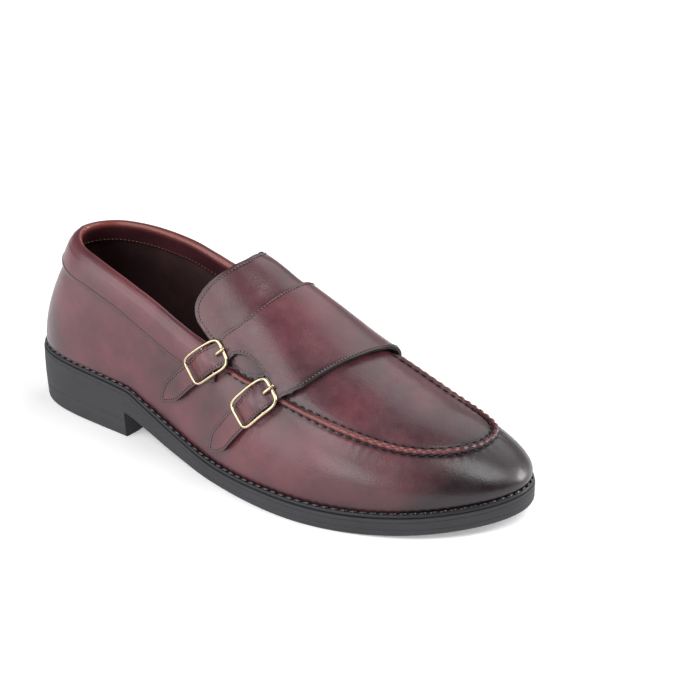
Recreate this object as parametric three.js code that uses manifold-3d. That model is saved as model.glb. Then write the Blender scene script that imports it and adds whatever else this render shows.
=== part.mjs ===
// Double monk strap shoe for the right foot, standing empty on its sole.
// Millimetres, +X toward the toe, +Z up, -Y the outer side of the foot.
// The origin is on the floor, at the centre of the box round the shoe's outline.
import * as THREE from "three";
import { mergeVertices } from "three/addons/utils/BufferGeometryUtils.js";
import Module from "manifold-3d";

const wasm = await Module();
wasm.setup();

// Overall sizes
const HALF_LENGTH = 150;
const FIT_GAP = 0.45;
const STATIONS = 34;

// Upper: wall thickness, rows up each rib, how far its cut edge lies below the topline, and the
// thickness of the rolled band over it
const WALL = 2.0;
const RIB_ROWS = 14;
const ROLL = 1.9;
const ROLL_THICK = 1.2;

// Layers outside the upper, each as [inner face, outer face] above the upper's own surface
const BAND_LAYER = [0.45, 1.7];
const TONGUE_LAYER = [0.55, 2.1];
const SADDLE_LAYER = [2.6, 4.3];
const LINING_LAYER = [-3.6, -2.4];

// Bottom unit
const WELT_TOP = 2.4;
const WELT_THICK = 1.65;
const WELT_REACH = 8;
const WELT_SETBACK = 0.5;
const INSOLE_THICK = 3;
const INSOLE_SETBACK = 8.6;
const HEEL_BREAST = -75.3;
const HEEL_TAPER = 1.1;
const HEEL_OVERLAP = 18;
const EDGE_CHAMFER = 1.2;
const TOE_SPRING = 7.6;
const SPRING_START = 65;
const SPRING_LENGTH = 85;

// Buckles
const FRAME_LENGTH = 23.4;
const FRAME_WIDTH = 16;
const FRAME_CORNER = 3.6;
const FRAME_FORWARD = 1.4;
const FRAME_WIRE = 0.95;
const FRAME_LIFT = 5.5;
const BAR_WIRE = 0.8;
const BAR_LIFT = 4.3;
const PRONG_WIRE = 0.7;
const STRAP_THICK = 1.5;

// Outline of the sole from above: one row per station, y on the outer and the inner side
const OUTLINE = [
  { x: 150, outer: 9, inner: 9 },
  { x: 148, outer: -1, inner: 19.5 },
  { x: 143, outer: -10.3, inner: 28 },
  { x: 135, outer: -19.6, inner: 35.5 },
  { x: 125, outer: -28.3, inner: 42 },
  { x: 112, outer: -37, inner: 48.2 },
  { x: 95, outer: -45, inner: 53.2 },
  { x: 75, outer: -51.2, inner: 54.5 },
  { x: 50, outer: -54.5, inner: 50 },
  { x: 25, outer: -52.3, inner: 42 },
  { x: 0, outer: -46.3, inner: 34.5 },
  { x: -30, outer: -37, inner: 31.8 },
  { x: -60, outer: -30.6, inner: 33.8 },
  { x: -85, outer: -27.2, inner: 35.8 },
  { x: -110, outer: -23.9, inner: 36 },
  { x: -130, outer: -18.9, inner: 31.3 },
  { x: -140, outer: -13.3, inner: 25 },
  { x: -146, outer: -7, inner: 18 },
  { x: -149, outer: -0.9, inner: 11.3 },
  { x: -150, outer: 5, inner: 5 },
];

// Sole from the side: height of its top edge and of its underside
const SOLE_SIDE = [
  { x: -150, top: 31.3, under: 14.7 },
  { x: -75, top: 28.2, under: 14.7 },
  { x: -60, top: 22.6, under: 10.3 },
  { x: -40, top: 15.2, under: 4.2 },
  { x: -18, top: 9.9, under: 0.5 },
  { x: -10, top: 9.1, under: 0 },
  { x: 0, top: 8.8, under: 0 },
  { x: 40, top: 9.6, under: 0 },
  { x: 75, top: 9.6, under: 0 },
  { x: 150, top: 9.6, under: 0 },
];

// Ridge line over the foot: height and sideways place. Behind the throat it is the last's cone.
const RIDGE = [
  { x: -103, z: 134, y: 3.5 },
  { x: -85, z: 134, y: 3.5 },
  { x: -50, z: 133, y: 4 },
  { x: -25, z: 117, y: 6 },
  { x: 0, z: 100, y: 7.5 },
  { x: 25, z: 85, y: 8.6 },
  { x: 50, z: 70, y: 8.9 },
  { x: 75, z: 58.9, y: 8.2 },
  { x: 95, z: 51, y: 9.8 },
  { x: 108, z: 47.4, y: 11 },
];

// Rib shape along the shoe: fullness (2 is an ellipse) and outward swell of the wall, each side
const RIB_SHAPE = [
  { x: -150, fullOuter: 1.72, fullInner: 1.72, swellOuter: 0.8, swellInner: 0.8 },
  { x: -120, fullOuter: 1.78, fullInner: 1.85, swellOuter: 2, swellInner: 2 },
  { x: -90, fullOuter: 1.98, fullInner: 2.15, swellOuter: 1.8, swellInner: 1.8 },
  { x: -50, fullOuter: 2.15, fullInner: 2.45, swellOuter: 1.2, swellInner: 1.4 },
  { x: 0, fullOuter: 1.92, fullInner: 2.9, swellOuter: 1, swellInner: 3 },
  { x: 60, fullOuter: 2.2, fullInner: 2.35, swellOuter: 0.8, swellInner: 0.8 },
  { x: 110, fullOuter: 2.35, fullInner: 1.95, swellOuter: 0.8, swellInner: 0.8 },
  { x: 150, fullOuter: 2.3, fullInner: 2.3, swellOuter: 2.6, swellInner: 2.6 },
];

// Where the upper meets the welt: setback from the outline, and how low the swell sits
const FEATHER = [
  { x: -150, inset: 1.8, swellPower: 0.45 },
  { x: -100, inset: 2, swellPower: 0.5 },
  { x: -40, inset: 3, swellPower: 0.7 },
  { x: 150, inset: 3, swellPower: 0.75 },
];

// Lean of the heel's back over the foot: how far it leans toward the toe at each height
const HEEL_LEAN = [
  { z: 30, lean: 0 },
  { z: 40, lean: 0.8 },
  { z: 52, lean: 2 },
  { z: 65, lean: 4 },
  { z: 74, lean: 5.8 },
  { z: 84, lean: 7.8 },
  { z: 100, lean: 9.4 },
  { z: 120, lean: 10 },
];

// Share of that lean along the shoe
const LEAN_SHARE = [
  { x: -115, share: 1 },
  { x: -95, share: 0.85 },
  { x: -60, share: 0.3 },
  { x: -25, share: 0 },
];

// Topline of the quarters from the side, each side, running up to the throat
const TOPLINE = [
  { x: -152, outer: 101, inner: 101 },
  { x: -126, outer: 100.6, inner: 101 },
  { x: -112, outer: 97, inner: 101 },
  { x: -100, outer: 95, inner: 100.5 },
  { x: -86, outer: 92, inner: 99.5 },
  { x: -64, outer: 86, inner: 97 },
  { x: -50, outer: 81.3, inner: 93.5 },
  { x: -36, outer: 76, inner: 89.5 },
  { x: -26, outer: 72.5, inner: 87.5 },
  { x: -14, outer: 70, inner: 86 },
  { x: -7, outer: 71, inner: 87 },
];

// Edge of the vamp in the throat, from the side, carried on from the topline up over the ridge
const THROAT = [
  { x: -3, outer: 73.5, inner: 88.5 },
  { x: 1, outer: 80, inner: 91 },
  { x: 5, outer: 92, inner: 97 },
  { x: 7, outer: 140, inner: 140 },
];

// Depth of the collar band below the topline, and the station at which its ends stop
const BAND_FRONT = -9;
const BAND_DEPTH = [
  { x: -152, depth: 15.5 },
  { x: -90, depth: 16 },
  { x: -50, depth: 18.5 },
  { x: -30, depth: 17 },
  { x: -7, depth: 15 },
];

// Saddle: one row per fold over the foot. girth is 0 at the outer welt, 1 on the ridge, 2 inside.
const SADDLE = [
  { girth: 0.515, rear: -8.5, front: 37.2 },
  { girth: 0.56, rear: -5, front: 40.4 },
  { girth: 0.65, rear: 0, front: 44.3 },
  { girth: 0.75, rear: 4, front: 47.8 },
  { girth: 0.87, rear: 7.2, front: 51.4 },
  { girth: 1, rear: 9.6, front: 54.9 },
  { girth: 1.13, rear: 10.2, front: 57 },
  { girth: 1.28, rear: 9, front: 57.2 },
  { girth: 1.42, rear: 7.5, front: 56 },
  { girth: 1.56, rear: 6, front: 54 },
  { girth: 1.7, rear: 4.5, front: 51 },
  { girth: 1.84, rear: 3, front: 47.5 },
  { girth: 1.97, rear: 1.5, front: 44 },
];

// Tongue: the same rows, from its rounded rear edge forward under the saddle
const TONGUE = [
  { girth: 0.44, rear: -18.5, front: -1 },
  { girth: 0.455, rear: -26.5, front: 14 },
  { girth: 0.5, rear: -28.8, front: 20 },
  { girth: 0.57, rear: -27, front: 20 },
  { girth: 0.68, rear: -22.2, front: 20 },
  { girth: 0.8, rear: -17.2, front: 20 },
  { girth: 0.93, rear: -13.6, front: 20 },
  { girth: 1.06, rear: -13, front: 20 },
  { girth: 1.18, rear: -14.4, front: 20 },
  { girth: 1.3, rear: -18, front: 20 },
  { girth: 1.4, rear: -22, front: 20 },
  { girth: 1.45, rear: -22, front: 20 },
  { girth: 1.47, rear: -15, front: 14 },
];

// Rolled bead round the apron: from under the rear strap, round the toe and back to the saddle
const BEAD_WIDTH = 2.8;
const BEAD_LAYER = [0.3, 2.1];
const BEAD = [
  { turn: 1.53, rise: 0.41 },
  { turn: 1.45, rise: 0.43 },
  { turn: 1.335, rise: 0.45 },
  { turn: 1.2, rise: 0.478 },
  { turn: 1.05, rise: 0.498 },
  { turn: 0.912, rise: 0.521 },
  { turn: 0.777, rise: 0.55 },
  { turn: 0.64, rise: 0.592 },
  { turn: 0.5, rise: 0.64 },
  { turn: 0.3, rise: 0.69 },
  { turn: 0.06, rise: 0.722 },
  { turn: -0.16, rise: 0.715 },
  { turn: -0.36, rise: 0.68 },
  { turn: -0.55, rise: 0.645 },
  { turn: -0.75, rise: 0.63 },
  { turn: -0.95, rise: 0.65 },
  { turn: -1.1, rise: 0.68 },
  { turn: -1.18, rise: 0.7 },
];

// Straps on the outer side, drawn from the side: where the buckle sits and the way to the tip
const REAR_STRAP = { x: -14.5, z: 66.2, toTipX: -0.687, toTipZ: -0.726 };
const FRONT_STRAP = { x: 19.5, z: 54.8, toTipX: -0.604, toTipZ: -0.797 };

// A strap along its length from the buckle's middle: half width, and its inner face's lift
const STRAP_RUN = [
  { along: -23, half: 5.6, lift: 2.6 },
  { along: -17, half: 6, lift: 2.55 },
  { along: -11.5, half: 6.2, lift: 2.5 },
  { along: -7.5, half: 6.2, lift: 3.1 },
  { along: -3.5, half: 6.1, lift: 5 },
  { along: 0, half: 6, lift: 5.6 },
  { along: 3.5, half: 6.1, lift: 4.9 },
  { along: 7.5, half: 6.2, lift: 3 },
  { along: 11.5, half: 6.2, lift: 2.2 },
  { along: 18, half: 6.2, lift: 1.9 },
  { along: 26, half: 6.1, lift: 1.8 },
  { along: 34.5, half: 6, lift: 1.8 },
  { along: 40.5, half: 3.7, lift: 1.8 },
  { along: 45, half: 0.9, lift: 1.8 },
];

// Colours and surfaces
const LEATHER = { color: 0x4a1c20, roughness: 0.38, metalness: 0 };
const SOLE_RUBBER = { color: 0x1b1b1e, roughness: 0.62, metalness: 0 };
const WELT_BLACK = { color: 0x141315, roughness: 0.7, metalness: 0 };
const SOCK_LEATHER = { color: 0x5a2a1c, roughness: 0.6, metalness: 0 };
const PALE_BRASS = { color: 0xc9b787, roughness: 0.25, metalness: 1 };

// Smooth curve through a table's column that keeps the rows' rises and falls
function column(rows, key, from = "x") {
  const sorted = [...rows].sort((a, b) => a[from] - b[from]);
  const x = sorted.map((row) => row[from]);
  const y = sorted.map((row) => row[key]);
  const step = x.slice(1).map((value, i) => value - x[i]);
  const rise = step.map((value, i) => (y[i + 1] - y[i]) / value);
  const slope = x.map((_, i) => monotoneSlope(step, rise, i));
  return (at) => {
    const q = Math.min(Math.max(at, x[0]), x[x.length - 1]);
    let i = 0;
    while (i < step.length - 1 && q > x[i + 1]) i += 1;
    return hermite((q - x[i]) / step[i], y[i], y[i + 1], slope[i] * step[i], slope[i + 1] * step[i]);
  };
}

function monotoneSlope(step, rise, i) {
  if (i === 0) return rise[0];
  if (i === step.length) return rise[step.length - 1];
  if (rise[i - 1] * rise[i] <= 0) return 0;
  const a = 2 * step[i] + step[i - 1];
  const b = step[i] + 2 * step[i - 1];
  return (a + b) / (a / rise[i - 1] + b / rise[i]);
}

function hermite(t, y0, y1, m0, m1) {
  const u = 1 - t;
  return (1 + 2 * t) * u * u * y0 + t * u * u * m0 + t * t * (3 - 2 * t) * y1 - t * t * u * m1;
}

// Cubic spline with an even bend through all points, for the outline
function evenSpline(x, y) {
  const n = x.length;
  const h = x.slice(1).map((value, i) => value - x[i]);
  const diagonal = new Array(n).fill(1);
  const right = new Array(n).fill(0);
  const upper = new Array(n).fill(0);
  for (let i = 1; i < n - 1; i += 1) {
    const lower = h[i - 1];
    diagonal[i] = 2 * (h[i - 1] + h[i]) - (lower * upper[i - 1]) / diagonal[i - 1];
    upper[i] = h[i];
    const bend = 6 * ((y[i + 1] - y[i]) / h[i] - (y[i] - y[i - 1]) / h[i - 1]);
    right[i] = bend - (lower * right[i - 1]) / diagonal[i - 1];
  }
  const c = new Array(n).fill(0);
  for (let i = n - 2; i > 0; i -= 1) c[i] = (right[i] - upper[i] * c[i + 1]) / diagonal[i];
  return (at) => {
    let i = 0;
    while (i < n - 2 && at > x[i + 1]) i += 1;
    const a = (x[i + 1] - at) / h[i];
    const b = (at - x[i]) / h[i];
    const cubic = ((a ** 3 - a) * c[i] + (b ** 3 - b) * c[i + 1]) * h[i] ** 2;
    return a * y[i] + b * y[i + 1] + cubic / 6;
  };
}

// Sideways place of the outline by turn: 0 at the toe, pi at the heel, on by the inner side to 2 pi
function outlineCurve() {
  const turnOf = (row) => Math.acos(row.x / HALF_LENGTH);
  const innerRows = OUTLINE.slice(1, -1).reverse();
  const turn = [...OUTLINE.map(turnOf), ...innerRows.map((row) => 2 * Math.PI - turnOf(row))];
  const y = [...OUTLINE.map((row) => row.outer), ...innerRows.map((row) => row.inner)];
  const before = turn.slice(-4).map((t) => t - 2 * Math.PI);
  const after = turn.slice(0, 4).map((t) => t + 2 * Math.PI);
  return evenSpline([...before, ...turn, ...after], [...y.slice(-4), ...y, ...y.slice(0, 4)]);
}

const outlineY = outlineCurve();
const soleTopFlat = column(SOLE_SIDE, "top");
const soleUnderFlat = column(SOLE_SIDE, "under");
const ridgeZ = column(RIDGE, "z");
const ridgeY = column(RIDGE, "y");
const fullOuter = column(RIB_SHAPE, "fullOuter");
const fullInner = column(RIB_SHAPE, "fullInner");
const swellOuter = column(RIB_SHAPE, "swellOuter");
const swellInner = column(RIB_SHAPE, "swellInner");
const featherInset = column(FEATHER, "inset");
const swellPower = column(FEATHER, "swellPower");
const heelLean = column(HEEL_LEAN, "lean", "z");
const leanShare = column(LEAN_SHARE, "share");

// Toe spring lifts the front of the whole bottom unit
function spring(x) {
  const t = Math.min(Math.max((x - SPRING_START) / SPRING_LENGTH, 0), 1);
  return TOE_SPRING * t * t;
}

const soleTop = (x) => soleTopFlat(x) + spring(x);
const soleUnder = (x) => soleUnderFlat(x) + spring(x);

// The turn wrapped into one round
function wrap(turn) {
  const round = 2 * Math.PI;
  return ((turn % round) + round) % round;
}

// A point of the outline moved inward by a setback
function rim(turn, setback) {
  const t = wrap(turn);
  const d = 1e-3;
  const dx = -2 * d * HALF_LENGTH * Math.sin(t);
  const dy = outlineY(t + d) - outlineY(t - d);
  const length = Math.hypot(dx, dy);
  const out = { x: -dy / length, y: dx / length };
  const x = HALF_LENGTH * Math.cos(t);
  return { x: x - out.x * setback, y: outlineY(t) - out.y * setback, station: x, out };
}

// Ribs stand across the shoe in its middle and fan together toward the toe and the heel
function ridgeStation(x) {
  if (x > 78) return 78 + 30 * Math.tanh((x - 78) / 30);
  if (x < -75) return -75 + 28 * Math.tanh((x + 75) / 28);
  return x;
}

// A point of the last's surface: turn round the outline, rise from the feather edge to the ridge
function lastPoint(turn, rise) {
  const edge = rim(turn, featherInset(HALF_LENGTH * Math.cos(turn)));
  const x = edge.station;
  const top = ridgeStation(x);
  const topY = ridgeY(top);
  const inside = Math.min(Math.max((edge.y - topY) / 32 + 0.5, 0), 1);
  const full = fullOuter(x) * (1 - inside) + fullInner(x) * inside;
  const swell = swellOuter(x) * (1 - inside) + swellInner(x) * inside;
  const angle = (rise * Math.PI) / 2;
  const inward = 1 - Math.max(Math.cos(angle), 0) ** (2 / full);
  const upward = Math.sin(angle) ** (2 / full);
  const puff = swell * Math.sin(Math.PI * Math.min(upward, 1) ** swellPower(x));
  const px = edge.x + (top - edge.x) * inward + edge.out.x * puff;
  const py = edge.y + (topY - edge.y) * inward + edge.out.y * puff;
  const slope = ridgeZ(top + 0.5) - ridgeZ(top - 0.5);
  const roof = ridgeZ(top) + (x > 0 ? slope * (px - top) : 0);
  const foot = soleTop(edge.x) + WELT_TOP;
  const height = foot + (roof - foot) * upward;
  return new THREE.Vector3(px + heelLean(height) * leanShare(x), py, height);
}

function slopeNormal(turn, rise) {
  const v = Math.min(Math.max(rise, 0.006), 0.985);
  const along = lastPoint(turn + 0.004, v).sub(lastPoint(turn - 0.004, v));
  const up = lastPoint(turn, v + 0.004).sub(lastPoint(turn, v - 0.004));
  return up.cross(along).normalize();
}

// Outward normal, shared by both sides where they meet on the ridge
function lastNormal(turn, rise) {
  const normal = slopeNormal(turn, rise);
  const share = Math.min(Math.max((rise - 0.97) / 0.03, 0), 1) / 2;
  if (share === 0) return normal;
  return normal.multiplyScalar(1 - share).addScaledVector(slopeNormal(-turn, rise), share).normalize();
}

function skin(turn, rise, lift) {
  return lastPoint(turn, rise).addScaledVector(lastNormal(turn, rise), lift);
}

// The same surface by station and girth, for pieces that lie across the foot
function across(x, girth, lift) {
  const turn = Math.acos(x / HALF_LENGTH);
  if (girth <= 1) return skin(turn, girth, lift);
  return skin(2 * Math.PI - turn, 2 - girth, lift);
}

// The rise on a rib at which the surface stands at height z
function riseAt(turn, z) {
  let low = 0;
  let high = 1;
  for (let i = 0; i < 24; i += 1) {
    const middle = (low + high) / 2;
    if (lastPoint(turn, middle).z < z) low = middle;
    else high = middle;
  }
  return (low + high) / 2;
}

// The outer wall by its side view: x along, z up
function wallPoint(x, z, lift) {
  const turn = Math.acos(x / HALF_LENGTH);
  return skin(turn, riseAt(turn, z), lift);
}

// Solids from rows of points
function geometryOf(points, faces) {
  const geometry = new THREE.BufferGeometry();
  const flat = points.flatMap((p) => [p.x, p.y, p.z]);
  geometry.setAttribute("position", new THREE.Float32BufferAttribute(flat, 3));
  geometry.setIndex(faces.flat());
  return mergeVertices(geometry, 1e-4);
}

// Closed sections of equal length joined into a body: both ends capped, or the run closed on itself
function loft(sections, closed = false) {
  const n = sections[0].length;
  const faces = [];
  const last = closed ? sections.length : sections.length - 1;
  for (let i = 0; i < last; i += 1) {
    const a = i * n;
    const b = ((i + 1) % sections.length) * n;
    for (let j = 0; j < n; j += 1) {
      const k = (j + 1) % n;
      faces.push([a + j, b + j, b + k], [a + j, b + k, a + k]);
    }
  }
  const points = sections.flat();
  if (!closed) {
    addCap(faces, points, 0, n, false);
    addCap(faces, points, (sections.length - 1) * n, n, true);
  }
  return geometryOf(points, faces);
}

// A section's end is closed by triangles between its own points, also where the section is bent
function addCap(faces, points, start, n, flip) {
  const ring = points.slice(start, start + n);
  const normal = new THREE.Vector3();
  for (let j = 0; j < n; j += 1) normal.add(ring[j].clone().cross(ring[(j + 1) % n]));
  normal.normalize();
  const u = ring[1].clone().sub(ring[0]);
  u.addScaledVector(normal, -u.dot(normal)).normalize();
  const v = normal.clone().cross(u);
  const flat = ring.map((p) => new THREE.Vector2(p.dot(u), p.dot(v)));
  for (const [a, b, c] of THREE.ShapeUtils.triangulateShape(flat, [])) {
    faces.push(flip ? [start + a, start + c, start + b] : [start + a, start + b, start + c]);
  }
}

// Rings stacked up the shoe, closed below and above by strips between the two sides
function stackOf(rings) {
  const n = rings[0].length;
  const half = n / 2;
  const faces = [];
  for (let r = 0; r < rings.length - 1; r += 1) {
    for (let i = 0; i < n; i += 1) {
      const k = (i + 1) % n;
      const a = r * n;
      const b = a + n;
      faces.push([a + i, b + k, a + k], [a + i, b + i, b + k]);
    }
  }
  const top = (rings.length - 1) * n;
  for (let i = 0; i < half; i += 1) {
    const mirror = (n - i) % n;
    const mirrorNext = n - i - 1;
    faces.push([i, i + 1, mirrorNext], [i, mirrorNext, mirror]);
    faces.push([top + i, top + mirrorNext, top + i + 1], [top + i, top + mirror, top + mirrorNext]);
  }
  return cleanFaces(geometryOf(rings.flat(), faces));
}

// Faces that fold to a line where points meet are left out
function cleanFaces(geometry) {
  const old = geometry.getIndex().array;
  const kept = [];
  for (let i = 0; i < old.length; i += 3) {
    const [a, b, c] = [old[i], old[i + 1], old[i + 2]];
    if (a !== b && b !== c && c !== a) kept.push(a, b, c);
  }
  geometry.setIndex(kept);
  return geometry;
}

// A closed geometry as a solid for cutting, turned right side out if its faces point inward
function toSolid(geometry) {
  const clean = cleanFaces(mergeVertices(bare(geometry), 1e-4));
  const faces = Uint32Array.from(clean.getIndex().array);
  const vertices = Float32Array.from(clean.getAttribute("position").array);
  if (signedVolume(vertices, faces) < 0) turnOut(faces);
  const mesh = new wasm.Mesh({ numProp: 3, vertProperties: vertices, triVerts: faces });
  return new wasm.Manifold(mesh);
}

function bare(geometry) {
  const copy = geometry.clone();
  copy.deleteAttribute("normal");
  copy.deleteAttribute("uv");
  return copy;
}

function signedVolume(vertices, faces) {
  let sum = 0;
  const corner = (i) => new THREE.Vector3().fromArray(vertices, faces[i] * 3);
  for (let i = 0; i < faces.length; i += 3) sum += corner(i).dot(corner(i + 1).cross(corner(i + 2)));
  return sum / 6;
}

function turnOut(faces) {
  for (let i = 0; i < faces.length; i += 3) [faces[i + 1], faces[i + 2]] = [faces[i + 2], faces[i + 1]];
}

function fromSolid(solid) {
  const mesh = solid.getMesh();
  const geometry = new THREE.BufferGeometry();
  geometry.setAttribute("position", new THREE.Float32BufferAttribute(mesh.vertProperties, 3));
  geometry.setIndex(Array.from(mesh.triVerts));
  return geometry;
}

// Turn of station i, matched on both sides so that paired points share one station
const turnAt = (i) => (Math.PI * i) / STATIONS;

function ringOf(setback, heightAt) {
  const points = [];
  for (let i = 0; i < 2 * STATIONS; i += 1) {
    const p = rim(turnAt(i), setback);
    points.push(new THREE.Vector3(p.x, p.y, heightAt(p.x)));
  }
  return points;
}

// The last's whole surface at one lift, closed below; drop carries its foot further down
function lastSolid(lift, drop) {
  const rings = [];
  for (let r = 0; r <= RIB_ROWS; r += 1) {
    const ring = [];
    for (let i = 0; i < 2 * STATIONS; i += 1) ring.push(skin(turnAt(i), r / RIB_ROWS, lift));
    rings.push(ring);
  }
  for (let i = 1; i < STATIONS; i += 1) rings[RIB_ROWS][2 * STATIONS - i].copy(rings[RIB_ROWS][i]);
  if (drop > 0) rings.unshift(rings[0].map((p) => new THREE.Vector3(p.x, p.y, p.z - drop)));
  return toSolid(stackOf(rings));
}

// Everything above a line of the side view, on one side of the shoe's middle
function aboveLine(key, sink, fromY, toY) {
  const rows = [...TOPLINE, ...THROAT];
  const level = column(TOPLINE, key);
  const shape = new THREE.Shape();
  const end = rows[rows.length - 1].x;
  shape.moveTo(-160, 150);
  for (let i = 0; i <= 48; i += 1) {
    const x = -152 + (i * (TOPLINE[TOPLINE.length - 1].x + 152)) / 48;
    shape.lineTo(i === 0 ? -160 : x, level(x) - sink);
  }
  for (const row of THROAT) shape.lineTo(row.x, row[key] - sink);
  shape.lineTo(end, 150);
  const options = { depth: toY - fromY, bevelEnabled: false, steps: 1 };
  const geometry = new THREE.ExtrudeGeometry(shape, options);
  geometry.rotateX(Math.PI / 2);
  geometry.translate(0, toY, 0);
  return toSolid(geometry);
}

function makeUpper() {
  const outside = lastSolid(0, 0);
  const inside = lastSolid(-WALL, 6);
  const middle = 5.02;
  const collar = aboveLine("outer", ROLL, -90, middle).add(aboveLine("inner", ROLL, middle, 90));
  return fromSolid(outside.subtract(inside).subtract(collar));
}

// Collar band: a folded strip over the topline, one section per rib from side to side round the heel
function makeCollarBand() {
  const depth = column(BAND_DEPTH, "depth");
  const sections = [];
  for (let i = 0; i <= 2 * STATIONS; i += 1) {
    const x = HALF_LENGTH * Math.cos(turnAt(i));
    if (x < BAND_FRONT) sections.push(bandSection(turnAt(i), depth(x)));
  }
  return loft(sections);
}

// Height at which a rib crosses the topline of its side
function toplineAt(turn) {
  const level = column(TOPLINE, turn <= Math.PI ? "outer" : "inner");
  let low = 0;
  let high = 1;
  for (let i = 0; i < 24; i += 1) {
    const middle = (low + high) / 2;
    const p = lastPoint(turn, middle);
    if (p.z < level(p.x)) low = middle;
    else high = middle;
  }
  return lastPoint(turn, (low + high) / 2).z;
}

// The point of a rib's layer that stands at height z
function levelPoint(turn, z, lift) {
  let aim = z;
  for (let i = 0; i < 4; i += 1) aim += z - skin(turn, riseAt(turn, aim), lift).z;
  return skin(turn, riseAt(turn, aim), lift);
}

function bandSection(turn, depth) {
  const top = toplineAt(turn);
  const at = (z, lift) => levelPoint(turn, z, lift);
  const under = top - ROLL_THICK;
  return [
    at(top - depth, BAND_LAYER[0]),
    at(top - depth, BAND_LAYER[1]),
    at(top - depth / 2, BAND_LAYER[1]),
    at(top - 1, BAND_LAYER[1]),
    at(top, 0.4),
    at(top, -2.4),
    at(top - 1, LINING_LAYER[0]),
    at(top - depth / 2, LINING_LAYER[0]),
    at(top - depth, LINING_LAYER[0]),
    at(top - depth, LINING_LAYER[1]),
    at(top - depth / 2, LINING_LAYER[1]),
    at(under, LINING_LAYER[1]),
    at(under, BAND_LAYER[0]),
    at(top - depth / 2, BAND_LAYER[0]),
  ];
}

// A sheet laid across the foot: rows over the foot, each from its rear edge to its front edge
function sheet(rows, layer, cuts) {
  const sections = rows.map((row) => {
    const x = (j) => row.rear + ((row.front - row.rear) * j) / cuts;
    const under = [];
    const over = [];
    for (let j = 0; j <= cuts; j += 1) {
      under.push(across(x(j), row.girth, layer[0]));
      over.unshift(across(x(j), row.girth, layer[1]));
    }
    return [...under, ...over];
  });
  return loft(sections);
}

// The table's end rows with one row between them for each row of the upper below
function onRibRows(rows) {
  const rear = column(rows, "rear", "girth");
  const front = column(rows, "front", "girth");
  const [first, end] = [rows[0], rows[rows.length - 1]];
  const between = [];
  for (let k = 1; k < 2 * RIB_ROWS; k += 1) {
    const girth = k / RIB_ROWS;
    const inside = girth > first.girth + 0.01 && girth < end.girth - 0.01;
    if (inside) between.push({ girth, rear: rear(girth), front: front(girth) });
  }
  return [first, ...between, end];
}

// A point near a buckle: mm toward the strap's tip and mm across it, on the outer wall
function strapPoint(strap, along, aside, lift) {
  const x = strap.x + strap.toTipX * along + strap.toTipZ * aside;
  const z = strap.z + strap.toTipZ * along - strap.toTipX * aside;
  return wallPoint(x, z, lift);
}

function makeStrap(strap) {
  const sections = STRAP_RUN.map((row) => {
    const bottom = [-1, -0.33, 0.33, 1].map((s) => strapPoint(strap, row.along, s * row.half, row.lift));
    const top = [1, 0.33, -0.33, -1].map((s) => {
      return strapPoint(strap, row.along, s * row.half, row.lift + STRAP_THICK);
    });
    return [...bottom, ...top];
  });
  return toSolid(loft(sections));
}

function makeSaddle() {
  const body = toSolid(sheet(onRibRows(SADDLE), SADDLE_LAYER, 7));
  return fromSolid(body.add(makeStrap(REAR_STRAP)).add(makeStrap(FRONT_STRAP)));
}

// Bead: a small rounded section run round the apron
function makeBead() {
  const rows = BEAD.map((row) => ({ turn: -row.turn, rise: row.rise }));
  const rise = column(rows, "rise", "turn");
  const first = rows[0].turn;
  const span = rows[rows.length - 1].turn - first;
  const steps = 46;
  const sections = [];
  for (let i = 0; i <= steps; i += 1) {
    const turn = first + (span * i) / steps;
    sections.push(beadSection(-turn, rise(turn)));
  }
  return loft(sections);
}

function beadSection(turn, rise) {
  const girthLength = lastPoint(turn, rise + 0.01).distanceTo(lastPoint(turn, rise - 0.01)) / 0.02;
  const half = BEAD_WIDTH / 2 / girthLength;
  const [low, high] = BEAD_LAYER;
  const at = (s, lift) => skin(turn, rise + s * half, lift);
  return [at(-1, low), at(-1, high * 0.6), at(-0.45, high), at(0.45, high), at(1, high * 0.6), at(1, low)];
}

// Wire frame of a buckle: a rounded rectangle of round wire with a bar across its middle
function makeFrame(strap) {
  const wire = toSolid(loft(frameSections(strap), true));
  const half = FRAME_WIDTH / 2 - 0.4;
  const bar = [-1, -0.5, 0, 0.5, 1].map((s) => wireRing(strap, 0, s * half, BAR_LIFT, BAR_WIRE, [1, 0]));
  return fromSolid(wire.add(toSolid(loft(bar))));
}

function frameSections(strap) {
  const straightX = FRAME_LENGTH / 2 - FRAME_CORNER;
  const straightY = FRAME_WIDTH / 2 - FRAME_CORNER;
  const sections = [];
  for (let corner = 0; corner < 4; corner += 1) {
    for (let k = 0; k <= 4; k += 1) {
      const angle = ((corner + k / 4) * Math.PI) / 2;
      const cx = (corner === 0 || corner === 3 ? 1 : -1) * straightX;
      const cy = (corner < 2 ? 1 : -1) * straightY;
      const along = FRAME_FORWARD + cx + FRAME_CORNER * Math.cos(angle);
      const aside = cy + FRAME_CORNER * Math.sin(angle);
      const outward = [Math.cos(angle), Math.sin(angle)];
      sections.push(wireRing(strap, along, aside, FRAME_LIFT, FRAME_WIRE, outward));
    }
  }
  return sections;
}

// A six-sided round of wire about a point, in the plane of one direction and the wall's normal
function wireRing(strap, along, aside, lift, radius, outward) {
  const ring = [];
  for (let k = 0; k < 6; k += 1) {
    const a = (k * Math.PI) / 3;
    const out = radius * Math.cos(a);
    ring.push(strapPoint(strap, along + out * outward[0], aside + out * outward[1], lift + radius * Math.sin(a)));
  }
  return ring;
}

// Prong: from behind the middle bar, through the strap's hump and over the bar nearest the saddle
const PRONG_RUN = [
  { along: -1, lift: 8.2 },
  { along: -4.5, lift: 8 },
  { along: -8.5, lift: 7.5 },
  { along: -10.6, lift: 7.45 },
  { along: -12.2, lift: 7.2 },
];

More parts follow.
